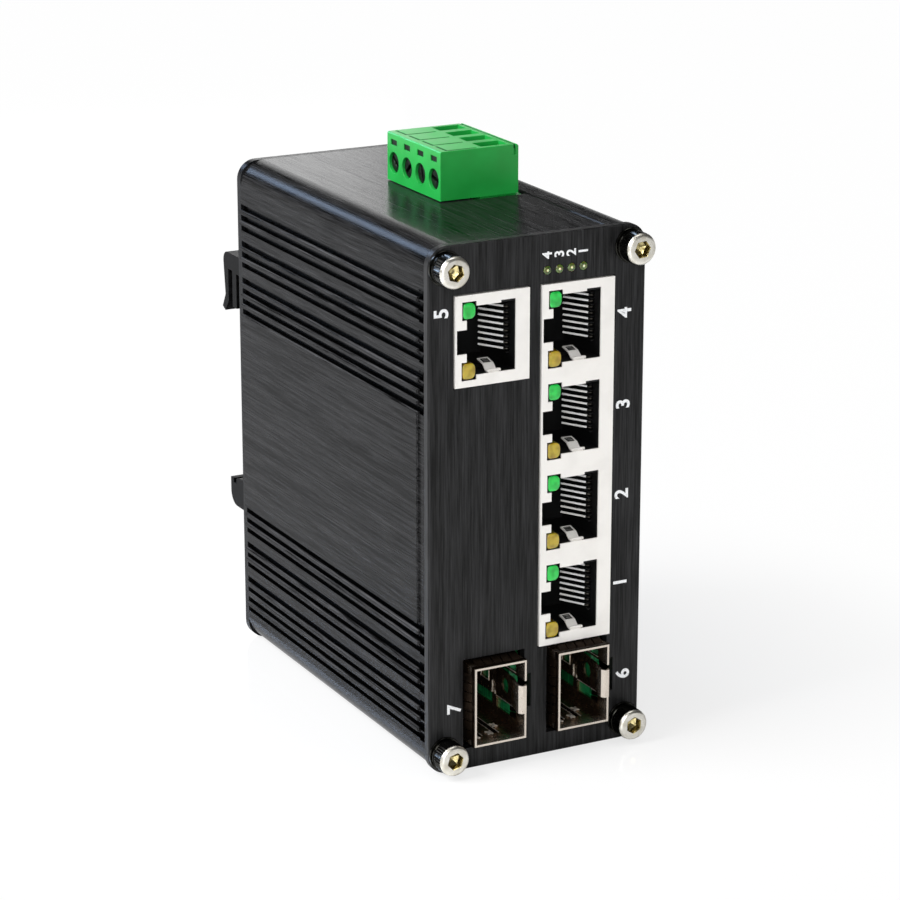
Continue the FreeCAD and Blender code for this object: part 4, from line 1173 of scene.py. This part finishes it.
@dataclass
class CopperPorts:
    """The single port and the gang of four. Millimetres from a port's left edge and down from its top.

    Attributes:
        pitch: from port to port in the gang.
        green: the green lamp's pocket: two distances across, two down.
        amber: the amber lamp's pocket.
        lamp_gap: dark gap round a lamp.
        lamp_powers: exponents of a lamp's outline on its left and its right half.
        lamp_rings: rows of a lamp's form: share of its outline, and depth.
        lamp_proud: how far a lamp stands in front of the port.
        contact_middle: middle of the row of contacts.
        contact_pitch: from contact to contact.
        wire: radius of a contact wire.
        bends: path of a contact wire: distances behind the plate's face and across.
        proud: how far a port stands in front of the plate.
        tooth: the comb's teeth: two distances across, two behind the port's front, and half a width.
        bar: the comb's bar, in the same order.
        tab: middle of the ground tab across, and the level that it springs from.
        slope: how far the tab runs back while it rises.
        dimple_at: middle of the dimple behind the plate's face and above the tab's root.
        dimple: blocks of the dimple: finish number, lowest and highest corner on the flat tab; the black
            steel block is painted shade in the dimple's hollow.
        foot: lowest and highest corner of the tab's foot, from the middle of its root.
    """

    pitch: float = 15.8
    green: tuple[float, ...] = (1.25, 3.9, 1.1, 4.2)
    amber: tuple[float, ...] = (1.15, 3.9, 11.2, 14.3)
    lamp_gap: float = 0.13
    lamp_powers: tuple[float, float] = (4.5, 2.7)
    lamp_rings: tuple[tuple[float, float], ...] = (
        (0, 0), (0.55, 0), (0.8, 0.03), (0.92, 0.1), (0.98, 0.22), (1, 0.45), (1, 8.0), (0, 8.0),
    )
    lamp_proud: float = 0.04
    contact_middle: float = 7.1
    contact_pitch: float = 1.02
    wire: float = 0.19
    bends: tuple[tuple[float, float], ...] = (
        (7.2, 8.2), (6.9, 8.35), (5.5, 9.18), (4.0, 10.07), (3.0, 10.66), (2.62, 10.9),
        (2.5, 11.08), (2.6, 11.23), (2.9, 11.27), (3.3, 11.27), (3.8, 11.27),
    )
    proud: float = 0.3
    tooth: tuple[float, ...] = (10.62, 11.44, 2.3, 11.5, 0.17)
    bar: tuple[float, ...] = (10.95, 11.44, 3.4, 12.0, 4.4)
    tab: tuple[float, float] = (7.1, 13.5)
    slope: tuple[float, float] = (1.9, 0.4)
    dimple_at: tuple[float, float] = (2.75, 1.28)
    dimple: tuple[tuple[int, Corner, Corner], ...] = (
        (1, (-0.68, -0.72, -0.06), (0.68, 0.72, 0.03)), (2, (-0.46, -0.5, 0.0), (0.46, -0.05, 0.07)),
        (2, (-0.46, 0.12, 0.0), (0.46, 0.5, 0.07)),
    )
    foot: tuple[Corner, Corner] = ((-1.0, 0.35, -0.1), (1.5, 0.8, 0.5))

    def dress(self, shelf: FinishShelf) -> None:
        """Dresses the ports' solids and builds the lamps, wires, combs and details of the tabs.

        Args:
            shelf: the finishes.
        """
        for jack in ("quad_jack", "single_jack"):
            shelf.dress_nodes({jack + "_shield": TIN_PLATE, jack + "_housing": BLACK_NYLON})
        self.lamps(shelf, "green_port_lamps", self.green, "link_lamps", "green_lamp",
                   (GREEN_RESIN, GREEN_EDGE))
        self.lamps(shelf, "amber_port_lamps", self.amber, "speed_lamps", "amber_lamp",
                   (AMBER_RESIN, AMBER_EDGE))
        self.contact_wires(shelf)
        self.combs(shelf)
        self.tab_details(shelf)

    def places(self) -> list[tuple[float, float, float]]:
        """Finds the five ports.

        Returns:
            Left edge, front and top edge of each.
        """
        single, gang = box_mm("single_jack_shield"), box_mm("quad_jack_shield")
        ports = [(single[0][0], single[0][1], single[1][2])]
        ports += [(gang[0][0], gang[0][1], gang[1][2] - k * self.pitch) for k in range(4)]
        return ports

    def lamps(self, shelf: FinishShelf, name: str, pocket: tuple[float, ...], node: str, slot: str,
              finishes: tuple[Finish, Finish]) -> None:
        """Builds the lamps of one colour, straight on the left and round on the right.

        The outline is a superellipse: each half axis times the cosine or sine raised to two over an
        exponent, which is high on the left half and low on the right. Rings of it shrink to a domed front.

        Args:
            shelf: the finishes.
            name: the piece's name.
            pocket: the lamp's pocket.
            node: the node that it stands for.
            slot: its slot in the record; passed to add_piece, which doesn't use it.
            finishes: the finishes of the front, with its painted glow, and of the edge, in painted shade.
        """
        angle = np.linspace(0, math.tau, 48, endpoint=False)
        cosine, sine = np.cos(angle), np.sin(angle)
        power = 2 / np.where(cosine < 0, *self.lamp_powers)
        scale, depth = np.array(self.lamp_rings).T[:, :, None]
        near, far, upper, lower = pocket
        wide, tall = (far - near) / 2 - self.lamp_gap, (lower - upper) / 2 - self.lamp_gap
        # Front rows get the painted glow; the rim and sides get the painted shade.
        marks = np.array([0, 0, 0, 1, 1, 1, 1])
        skin = Skin()
        for left, front, top in self.places():
            x = left + (near + far) / 2 + wide * scale * np.sign(cosine) * np.abs(cosine) ** power
            z = top - (upper + lower) / 2 + tall * scale * np.sign(sine) * np.abs(sine) ** power
            y = np.broadcast_to(front - self.lamp_proud + depth, x.shape)
            skin.wrap(np.stack([x, y, z], -1), marks)
        piece = add_piece(name, skin.mesh(name), "switch", slot, node)
        shelf.coat(piece, *finishes)

    def contact_wires(self, shelf: FinishShelf) -> None:
        """Builds the sprung contact wires: a slope towards the back of the port, bent back at the front.

        Args:
            shelf: the finishes.
        """
        behind, across = np.array(self.bends).T
        # Front rows carry the white painted glint; rows past the bend carry the painted shade.
        marks = np.array([0] * 5 + [1] * 7)
        skin = Skin()
        for left, front, top in self.places():
            for k in range(8):
                z = top - self.contact_middle + (k - 3.5) * self.contact_pitch
                path = np.stack([left + across, front + self.proud + behind, np.full(len(across), z)], -1)
                skin.wrap(wire_points(path, self.wire), marks)
        piece = add_piece("contact_wires", skin.mesh("contact_wires", 60.0), "switch", "gilt_contact",
                          "quad_jack_contacts", "single_jack_contacts")
        shelf.coat(piece, BRIGHT_CONTACT, SHADED_CONTACT)

    def combs(self, shelf: FinishShelf) -> None:
        """Builds the moulded teeth that stand between the contacts, and the bar that the wires go into.

        Args:
            shelf: the finishes.
        """
        skin = Skin()
        for left, front, top in self.places():
            level = top - self.contact_middle
            blocks = [(level + (k - 4) * self.contact_pitch, self.tooth) for k in range(9)]
            for z, (near, far, start, stop, half) in blocks + [(level, self.bar)]:
                skin.block(np.array([left + near, front + start, z - half]),
                           np.array([left + far, front + stop, z + half]), edge=0.06)
        piece = add_piece("contact_combs", skin.mesh("contact_combs"), "switch", "black_moulding")
        shelf.coat(piece, BLACK_NYLON)

    def tab_details(self, shelf: FinishShelf) -> None:
        """Builds what a ground tab carries: the foot that it springs from and the dimple on its slope.

        The dimple's blocks are worked out flat and then laid on the slope.

        Args:
            shelf: the finishes.
        """
        run, rise = np.array(self.slope) / math.hypot(*self.slope)
        across, level = self.tab
        behind, above = self.dimple_at
        skin = Skin()
        for left, front, top in self.places():
            # The black steel block (finish 1) is painted shade in the dimple's hollow.
            for mark, low, high in self.dimple:
                flat = block_points(np.array(low), np.array(high), edge=0.02)
                x = left + across + flat[..., 0]
                y = front + self.proud + behind + flat[..., 1] * run - flat[..., 2] * rise
                z = top - level + above + flat[..., 1] * rise + flat[..., 2] * run
                skin.wrap(np.stack([x, y, z], -1), mark)
            root = np.array([left + across, front, top - level])
            skin.block(root + self.foot[0], root + self.foot[1], edge=0.08)
        piece = add_piece("ground_tab_details", skin.mesh("ground_tab_details"), "switch", "tinned_steel")
        shelf.coat(piece, TIN_PLATE, BLACK_STEEL, SPRING_STEEL)


@dataclass
class ModuleBays:
    """The two cages with their collars and sockets. Sizes in millimetres.

    Attributes:
        finger: width of a collar finger.
        pitch: from finger to finger.
        sheet: thickness of the collar.
        bulge: how far a finger bows out.
        reach: depth of the collar's band and fingers from the cage's rim.
        tongue: half the gap that the collar leaves for the latch tongue, and its middle above the cage.
        wall_edges: cut edges on the wall: distances behind the rim and up, then length and height.
        floor_edges: distances across of the cut edges in the floor.
        floor_run: where a cut edge in the floor starts behind the rim, and its length.
        burr: width of a cut edge.
        stand: how far an edge stands out of the wall, and how deep edges and tabs sit in the floor.
        floor_tabs: pressed-up tabs in the floor: distances across and behind the rim.
        tab_size: size of a pressed-up tab.
        wall: thickness of a cage's wall.
    """

    finger: float = 1.5
    pitch: float = 1.7
    sheet: float = 0.12
    bulge: float = 0.78
    reach: tuple[float, float, float] = (0.2, 1.1, 5.85)
    tongue: tuple[float, float] = (2.85, 7.5)
    wall_edges: tuple[tuple[float, float, float, float], ...] = (
        (12.6, 6.1, 0.18, 2.8), (15.4, 6.1, 0.18, 2.8), (12.6, 6.0, 3.0, 0.16), (12.6, 8.8, 3.0, 0.16),
        (10.2, 4.4, 0.3, 2.2), (11.2, 4.4, 0.3, 2.2), (3.1, 10.7, 8.9, 0.14), (3.1, 4.2, 6.9, 0.14),
    )
    floor_edges: tuple[float, ...] = (2.1, 3.1, 5.3, 6.3)
    floor_run: tuple[float, float] = (3.4, 12.2)
    burr: float = 0.12
    stand: Corner = (0.09, 0.03, 0.1)
    floor_tabs: tuple[tuple[float, float], ...] = (
        (1.3, 2.2), (4.1, 2.9), (6.4, 5.6), (2.4, 6.6), (4.6, 9.4),
    )
    tab_size: Corner = (1.1, 1.7, 0.5)
    wall: float = 0.36

    def dress(self, shelf: FinishShelf) -> None:
        """Dresses the cages' solids and builds the collars.

        Args:
            shelf: the finishes.
        """
        metal = StampedCage("nickel_plated_copper_alloy_painted_shade", self.cage_box("left")[2])
        for side in ("left", "right"):
            shelf.dress_nodes({side + "_cage": metal, side + "_cage_socket": BLACK_NYLON})
            self.collar(shelf, side)
        self.cut_edges(shelf)

    def cage_box(self, side: str) -> tuple[np.ndarray, np.ndarray, float]:
        """Finds a cage's rim without its latch lip.

        Args:
            side: left or right.

        Returns:
            Lowest and highest X and Z, and the Y of the rim.
        """
        low, high = box_mm(side + "_cage")
        socket = box_mm(side + "_collar")
        return low[[0, 2]], high[[0, 2]], socket[0][1] - self.reach[0]

    def cut_edges(self, shelf: FinishShelf) -> None:
        """Builds the burred edges of the stampings in each cage's wall and floor, and the floor's tabs.

        Args:
            shelf: the finishes.
        """
        out, edge_in, tab_in = self.stand
        behind, long = self.floor_run
        skin = Skin()
        for side in ("left", "right"):
            low, high, rim = self.cage_box(side)
            wall, floor = high[0] - self.wall, low[1] + self.wall
            for depth, up, run, rise in self.wall_edges:
                start = np.array([wall - out, rim + depth, low[1] + up])
                skin.block(start, start + (self.burr, run, rise), edge=0.03)
            for aside in self.floor_edges:
                start = np.array([low[0] + aside, rim + behind, floor - edge_in])
                skin.block(start, start + (self.burr, long, self.burr), edge=0.03)
            for aside, depth in self.floor_tabs:
                start = np.array([low[0] + aside, rim + depth, floor - tab_in])
                skin.block(start, start + self.tab_size, edge=0.2)
        piece = add_piece("cage_cut_edges", skin.mesh("cage_cut_edges"), "switch", "cage_steel")
        shelf.coat(piece, CAGE_EDGE)

    def finger_rows(self, low: float, high: float) -> np.ndarray:
        """Spaces the fingers evenly along a side.

        Args:
            low: one end of the side.
            high: its other end.

        Returns:
            The middles of the fingers.
        """
        count = int((high - low - 0.4) // self.pitch)
        return (low + high) / 2 + (np.arange(count) - (count - 1) / 2) * self.pitch

    def finger_points(self) -> np.ndarray:
        """Works out one finger: a strip whose height follows half a sine wave along its length.

        Returns:
            Steps by corners by (across, outward, depth).
        """
        steps, under = 15, 0.3  # the finger starts under the band
        share = np.linspace(0, 1, steps)
        depth = self.reach[1] - under + share * (self.reach[2] - self.reach[1] + under)
        rise = self.bulge * np.sin(math.pi * share) ** 0.9
        half = self.finger / 2
        corner = np.array([(-half, 0.0), (half, 0.0), (half, self.sheet), (-half, self.sheet)])
        rings = np.stack([np.broadcast_to(corner[:, 0], (steps, 4)), corner[:, 1] + rise[:, None],
                          np.broadcast_to(depth[:, None], (steps, 4))], -1)
        return capped(rings)

    def collar(self, shelf: FinishShelf, side: str) -> None:
        """Builds one collar: a band round the cage and the bowed fingers behind it.

        Args:
            shelf: the finishes.
            side: left or right.
        """
        low, high, rim = self.cage_box(side)
        finger = self.finger_points()
        across, out, depth = finger[..., 0], finger[..., 1], finger[..., 2] + rim
        skin = Skin()
        gap, middle = self.tongue
        for z in self.finger_rows(low[1], high[1]):
            skin.wrap(np.stack([low[0] - out, depth, z + across], -1))
            if abs(z - low[1] - middle) > gap + self.finger / 2:
                skin.wrap(np.stack([high[0] + out, depth, z + across], -1))
        for x in self.finger_rows(low[0], high[0]):
            skin.wrap(np.stack([x + across, depth, low[1] - out], -1))
            skin.wrap(np.stack([x + across, depth, high[1] + out], -1))
        skin.wrap(self.band_points(low, high, rim))
        name = side + "_spring_collar"
        piece = add_piece(name, skin.mesh(name), "switch", "collar_bronze", side + "_collar")
        shelf.coat(piece, COLLAR_METAL)

    def band_points(self, low: np.ndarray, high: np.ndarray, rim: float) -> np.ndarray:
        """Works out the band: a flat section carried round the rim, open where the tongue passes.

        Args:
            low: lowest X and Z of the cage.
            high: highest X and Z.
            rim: Y of the rim.

        Returns:
            Corners of the path by corners of the section by 3.
        """
        gap, middle = self.tongue
        level = low[1] + middle
        path = np.array([(high[0], level - gap), (high[0], low[1]), (low[0], low[1]), (low[0], high[1]),
                         (high[0], high[1]), (high[0], level + gap)])
        outward = np.array([(1, 0), (1, -1), (-1, -1), (-1, 1), (1, 1), (1, 0)])
        outer = path + outward * self.sheet
        front, back = rim + self.reach[0], rim + self.reach[1]
        corners = [np.insert(flat, 1, y, axis=1) for flat, y in
                   ((path, front), (path, back), (outer, back), (outer, front))]
        return capped(np.stack(corners, 1))


@dataclass
class PowerTerminal:
    """The header in the case and the plug that stands above it. Sizes in millimetres.

    Attributes:
        edge: rounding of the mouldings' edges.
        pitch: from pole to pole.
        head: radius of a clamp screw's head in the solids.
        sunk: depth of the heads below the plug's side.
        turns: how far round each screw came to rest, in degrees.
        slot: the small slot above a screw: its corner from the plug's side and the screw, and its size.
        grooves: seams round a lid: two distances from the side, the seam's end, and half the lid's length.
        seam: depth of a painted shade strip's floor and of its top below the plug's top.
        seam_gap: gap beside a strip, and the width of a seam that runs across.
        cross_seam: the long seam: two distances from the far side, and its floor below the plug's top.
    """

    edge: float = 0.1
    pitch: float = 5.0
    head: float = 1.75
    sunk: float = 0.42
    turns: tuple[float, ...] = (12.0, 75.0, 138.0, 40.0)
    slot: tuple[Corner, Corner] = ((0.16, -1.12, 3.08), (0.72, 2.24, 0.94))
    grooves: tuple[float, float, float, float] = (1.3, 1.75, 7.2, 2.1)
    seam: tuple[float, float] = (1.19, 0.015)
    seam_gap: tuple[float, float] = (0.02, 0.45)
    cross_seam: tuple[float, float, float] = (0.93, 0.57, 0.79)

    def dress(self, shelf: FinishShelf) -> None:
        """Dresses the terminal's metal, rounds its mouldings and builds the clamp screws.

        Args:
            shelf: the finishes.
        """
        # plug_clamps get black steel that darkens the plug's holes: painted shade.
        shelf.dress_nodes({
            "terminal_header": GREEN_NYLON, "header_pins": TIN_BRASS, "plug_clamps": BLACK_STEEL,
            "plug_contacts": TIN_BRASS,
        })
        body = bevelled_copy("plug_body", "terminal_plug", "green_moulding", self.edge)
        shelf.coat(body, GREEN_NYLON)
        self.clamp_screws(shelf)
        self.painted_seam_shade_strips(shelf)

    def clamp_screws(self, shelf: FinishShelf) -> None:
        """Builds the slotted clamp screws and the test contacts in the small slots above them.

        Args:
            shelf: the finishes.
        """
        low, high = box_mm("plug_screws")
        side, level = box_mm("plug_body")[0][0], (low[2] + high[2]) / 2
        skin, contacts = Skin(), Skin()
        for k, turn in enumerate(self.turns):
            depth = low[1] + self.head + k * self.pitch
            turned = CLAMP_SCREW.points((depth, side + self.sunk, level), turn)
            skin.wrap(np.stack([turned[..., 1], turned[..., 0], turned[..., 2]], -1))
            corner = np.array([side, depth, level]) + self.slot[0]
            contacts.block(corner, corner + self.slot[1], edge=0.04)
        for name, form, replaced in (("clamp_screws", skin, ("plug_screws",)),
                                     ("test_contacts", contacts, ())):
            piece = add_piece(name, form.mesh(name), "terminal_plug", "plated_steel", *replaced)
            # Painted shade and green reflection on the screws and test contacts.
            shelf.coat(piece, CLAMP_STEEL_PAINTED_SHADE)

    def painted_seam_shade_strips(self, shelf: FinishShelf) -> None:
        """Builds dark green strips in the seams round the lids: painted shade where the seams are deep.

        Args:
            shelf: the finishes.
        """
        low, high = box_mm("plug_body")
        first = box_mm("plug_screws")[0][1] + self.head
        near, far, end, half = self.grooves
        gap, width = self.seam_gap
        floor, top = high[2] - self.seam[0], high[2] - self.seam[1]
        skin = Skin()
        for k in range(4):
            depth = first + k * self.pitch
            for x, y in (((near, far), (-half, half)), ((near, end), (-half, -half + width))):
                start = np.array([low[0] + x[0] + gap, depth + y[0] + gap, floor])
                stop = np.array([low[0] + x[1] - gap, depth + y[1] - gap, top])
                skin.block(start, stop, edge=0.04)
        near, far, deep = self.cross_seam
        skin.block(np.array([high[0] - near, low[1] + 0.3, high[2] - deep]),
                   np.array([high[0] - far, high[1] - 0.1, top]), edge=0.04)
        piece = add_piece("painted_seam_shade_strips", skin.mesh("painted_seam_shade_strips"), "terminal_plug", "green_moulding")
        shelf.coat(piece, SEAM_PAINTED_SHADE)


@dataclass
class Electronics:
    """The boards, what they carry and the status lamps. Sizes in millimetres.

    Attributes:
        lamp_radius: radius of a status lamp.
        lamp_pitch: from lamp to lamp.
        lamp_count: number of lamps.
        dome: rows of a lamp's form: share of its radius, and depth.
    """

    lamp_radius: float = 0.75
    lamp_pitch: float = 2.25
    lamp_count: int = 4
    dome: tuple[tuple[float, float], ...] = (
        (0, 0), (0.28, 0), (0.5, 0.02), (0.75, 0.07), (0.92, 0.14), (1, 0.3), (1, 1.8), (0, 1.8),
    )

    def dress(self, shelf: FinishShelf) -> None:
        """Dresses the boards' solids and builds the status lamps.

        Args:
            shelf: the finishes.
        """
        shelf.dress_nodes({
            "main_board": BOARD_MASK, "port_board": BOARD_MASK, "board_link": BLACK_NYLON,
            "switch_chip": CHIP_EPOXY, "chip_heatsink": ANODISED_REAR, "interface_chip": CHIP_EPOXY,
            "network_transformers": CHIP_EPOXY, "input_capacitors": DRAWN_CAN,
            "power_inductor": FERRITE, "clock_crystal": DRAWN_CAN, "status_lamp_holder": BLACK_NYLON,
        })
        self.status_lamps(shelf)

    def status_lamps(self, shelf: FinishShelf) -> None:
        """Builds the domed status lamps: a dark guide with a paler middle that has a painted glow and
        highlight.

        Args:
            shelf: the finishes.
        """
        low, high = box_mm("status_lamps")
        radius = self.lamp_radius
        form = ScrewForm(tuple((r * radius, 0.0, 0.0, d) for r, d in self.dome), Drive.HEX, 1.0, 12)
        # The middle row gets the pale finish with its painted glow and highlight.
        marks = np.array([1, 0, 0, 0, 0, 0, 0])
        skin = Skin()
        for k in range(self.lamp_count):
            centre = (low[0] + radius + k * self.lamp_pitch, low[1], (low[2] + high[2]) / 2)
            skin.wrap(form.points(centre, 0), marks)
        piece = add_piece("status_lamp_domes", skin.mesh("status_lamp_domes"), "switch", "dark_lamp",
                          "status_lamps")
        shelf.coat(piece, DARK_RESIN, LIT_RESIN)


@dataclass
class PrintedNumbers:
    """Plain numbers printed on the front plate, read from below upwards. Sizes in millimetres.

    Attributes:
        height: height of a port's figure.
        small: height of a lamp's figure.
        film: thickness of the ink.
        cap: height of a figure as a share of the font's size.
        swell: how much the strokes are thickened, as a share of a figure's height.
        lamp_row: the lamps' figures: the first from the lamps' left, their pitch, and their level.
        beside: places of the figures from the plate's left edge and its bottom.
    """

    height: float = 2.5
    small: float = 1.7
    film: float = 0.02
    cap: float = 0.7
    swell: float = 0.035
    lamp_row: tuple[float, float, float] = (0.75, 2.25, 87.4)
    beside: dict[str, tuple[float, float]] = field(default_factory=lambda: {
        "4": (36.7, 76.0), "3": (36.7, 60.2), "2": (36.7, 44.4), "1": (36.7, 28.6),
        "5": (2.5, 79.9), "7": (4.9, 11.3), "6": (37.5, 11.8),
    })

    def dress(self, shelf: FinishShelf) -> None:
        """Prints the numbers.

        Args:
            shelf: the finishes.
        """
        low, _ = box_mm("front_plate")
        places = [(text, x, z, self.height) for text, (x, z) in self.beside.items()]
        lamps, _ = box_mm("status_lamps")
        first, pitch, level = self.lamp_row
        places += [(str(4 - k), lamps[0] - low[0] + first + pitch * k, level, self.small) for k in range(4)]
        meshes = [self.figure(text, (low[0] + x, low[1], z), size) for text, x, z, size in places]
        whole = bmesh.new()
        for mesh in meshes:
            whole.from_mesh(mesh)
        mesh = bpy.data.meshes.new("printed_numbers")
        whole.to_mesh(mesh)
        whole.free()
        piece = add_piece("printed_numbers", mesh, "switch", "black_anodised")
        shelf.coat(piece, WHITE_INK)

    def figure(self, text: str, place: tuple[float, float, float], height: float) -> Mesh:
        """Makes one figure as a thin film on the plate.

        The figure's own right becomes up on the plate and its own up becomes left.

        Args:
            text: the figure.
            place: its middle in millimetres.
            height: its height.

        Returns:
            Its mesh.
        """
        curve = bpy.data.curves.new("figure_" + text, "FONT")
        curve.body = text
        curve.size = height / self.cap
        curve.offset = self.swell * height
        curve.extrude = self.film / 2
        curve.align_x, curve.align_y = "CENTER", "CENTER"
        writer = bpy.data.objects.new("writer", curve)
        bpy.context.scene.collection.objects.link(writer)
        bpy.context.view_layer.update()
        mesh = bpy.data.meshes.new_from_object(writer.evaluated_get(bpy.context.evaluated_depsgraph_get()))
        bpy.data.objects.remove(writer)
        points = np.empty(len(mesh.vertices) * 3)
        mesh.vertices.foreach_get("co", points)
        flat = points.reshape(-1, 3)
        x, y, z = place
        placed = np.stack([x - flat[:, 1], y - self.film / 2 - flat[:, 2], z + flat[:, 0]], -1)
        mesh.vertices.foreach_set("co", (placed * MM).ravel())
        mesh.update()
        return mesh


# ---------------------------------------------------------------- studio
@dataclass
class Studio:
    """A pale floor, a white surround, soft lamps and the camera.

    Attributes:
        camera_at: place of the camera.
        azimuth: compass angle of the view, in degrees from straight at the front.
        elevation: angle of the view below the horizon, in degrees.
        lens_mm: focal length on a 36 mm sensor.
        aim: the point that the lamps face.
        ambient: strength of the even light.
        cloth: lowest and highest angle of the black cloth in degrees.
        cloth_away: distance of the cloth in metres.
        floor_half: half the floor's width in metres.
        floor_gap: how far the floor lies below the base, in metres, so that the two don't share a plane.
    """

    camera_at: tuple[float, float, float] = (-0.24555, -0.48040, 0.21160)
    azimuth: float = 27.53
    elevation: float = 17.33
    lens_mm: float = 127.6
    aim: Corner = (0.0, 0.0, 0.05)
    ambient: float = 0.2
    cloth: tuple[float, float] = (6.0, 72.0)
    cloth_away: float = 2.5
    floor_half: float = 4.0
    floor_gap: float = 0.02 * MM

    def build(self) -> None:
        """Builds the whole studio."""
        self.surround()
        self.canopy()
        self.floor()
        self.lamps()
        self.camera()

    def surround(self) -> None:
        """Sets the world: a soft even light, seen as white by the eye, by gloss and through resin."""
        world = bpy.data.worlds.new("white_surround")
        bpy.context.scene.world = world
        world.use_nodes = True
        tree = world.node_tree
        tree.nodes.clear()
        path = add_node(tree, "ShaderNodeLightPath")
        direct = add_node(tree, "ShaderNodeMath", {"operation": "MAXIMUM"},
                          {0: path.outputs["Is Camera Ray"], 1: path.outputs["Is Transmission Ray"]})
        seen = add_node(tree, "ShaderNodeMath", {"operation": "MAXIMUM"},
                        {0: direct.outputs["Value"], 1: path.outputs["Is Glossy Ray"]})
        level = add_node(tree, "ShaderNodeMapRange", {"To Min": self.ambient, "To Max": 1.0},
                         {"Value": seen.outputs["Value"]})
        light = add_node(tree, "ShaderNodeBackground", {"Color": WHITE},
                         {"Strength": level.outputs["Result"]})
        add_node(tree, "ShaderNodeOutputWorld", links={"Surface": light.outputs["Background"]})
        world.cycles.sampling_method = "NONE"

    def canopy(self) -> None:
        """Hangs black cloth round the set, above the horizon: a band of a sphere seen by gloss alone."""
        turn = np.radians(np.arange(0, 360, 5.0))
        rise = np.radians(np.arange(self.cloth[0], self.cloth[1] + 1, 3.0))[:, None]
        x, y = np.cos(rise) * np.sin(turn), np.cos(rise) * np.cos(turn)
        z = np.broadcast_to(np.sin(rise), x.shape)
        skin = Skin()
        skin.wrap(np.stack([x, y, z], -1) * self.cloth_away / MM)
        cloth = bpy.data.objects.new("black_cloth", skin.mesh("black_cloth"))
        bpy.context.scene.collection.objects.link(cloth)
        cloth.data.materials.append(VELVET.build())
        cloth.visible_camera = cloth.visible_diffuse = cloth.visible_transmission = False
        cloth.visible_shadow = cloth.visible_volume_scatter = False

    def floor(self) -> None:
        """Lays the floor, a square of white paper."""
        half, level = self.floor_half, -self.floor_gap
        corners = [(x * half, y * half, level) for x, y in ((-1, -1), (1, -1), (1, 1), (-1, 1))]
        mesh = bpy.data.meshes.new("floor")
        mesh.from_pydata(corners, [], [(0, 1, 2, 3)])
        plane = bpy.data.objects.new("floor", mesh)
        bpy.context.scene.collection.objects.link(plane)
        mesh.materials.append(PAPER.build())

    def lamp(self, name: str, place: tuple[float, float, float], size: tuple[float, float],
             power: float, colour: str = "FFFFFF") -> None:
        """Hangs a soft box that faces the object.

        Args:
            name: the lamp's name.
            place: its position.
            size: its width and height.
            power: its power in watts.
            colour: its colour.
        """
        data = bpy.data.lights.new(name, "AREA")
        data.shape = "RECTANGLE"
        data.size, data.size_y = size
        data.energy = power
        data.color = linear(colour)[:3]
        lamp = bpy.data.objects.new(name, data)
        lamp.location = place
        lamp.rotation_euler = (Vector(self.aim) - Vector(place)).to_track_quat("-Z", "Y").to_euler()
        bpy.context.scene.collection.objects.link(lamp)

    def lamps(self) -> None:
        """Hangs a key on the left, a box above, a fill in front and two low boxes behind for the gloss."""
        self.lamp("key_box", (-1.2, 0.15, 1.05), (0.85, 0.85), 36.0)
        self.lamp("top_box", (0.2, -0.3, 1.5), (0.8, 0.8), 4.0)
        self.lamp("fill_box", (-0.6, -1.3, 0.55), (0.7, 0.7), 10.0)
        self.lamp("roof_gloss_box", (0.5, 1.47, 0.46), (0.44, 0.5), 2.0)
        self.lamp("corner_gloss_box", (-0.44, 1.27, 0.72), (0.3, 0.3), 4.0, "C4DCFF")

    def camera(self) -> None:
        """Sets the camera, which looks down its azimuth and elevation."""
        data = bpy.data.cameras.new("camera")
        data.sensor_width = 36.0
        data.lens = self.lens_mm
        data.clip_start, data.clip_end = 0.01, 50.0
        camera = bpy.data.objects.new("camera", data)
        turn, tilt = math.radians(self.azimuth), math.radians(self.elevation)
        way = Vector((math.sin(turn) * math.cos(tilt), math.cos(turn) * math.cos(tilt), -math.sin(tilt)))
        camera.location = self.camera_at
        camera.rotation_euler = way.to_track_quat("-Z", "Y").to_euler()
        bpy.context.scene.collection.objects.link(camera)
        bpy.context.scene.camera = camera


def main() -> None:
    """Builds the scene in order."""
    logging.basicConfig(level=logging.INFO, format="%(name)s: %(message)s")
    bpy.context.scene.view_settings.view_transform = "Standard"
    shelf = FinishShelf()
    for part in (Case(), RailMount(), CopperPorts(), ModuleBays(), PowerTerminal(), Electronics(),
                 PrintedNumbers()):
        part.dress(shelf)
    Studio().build()


if __name__ == "__main__":
    main()
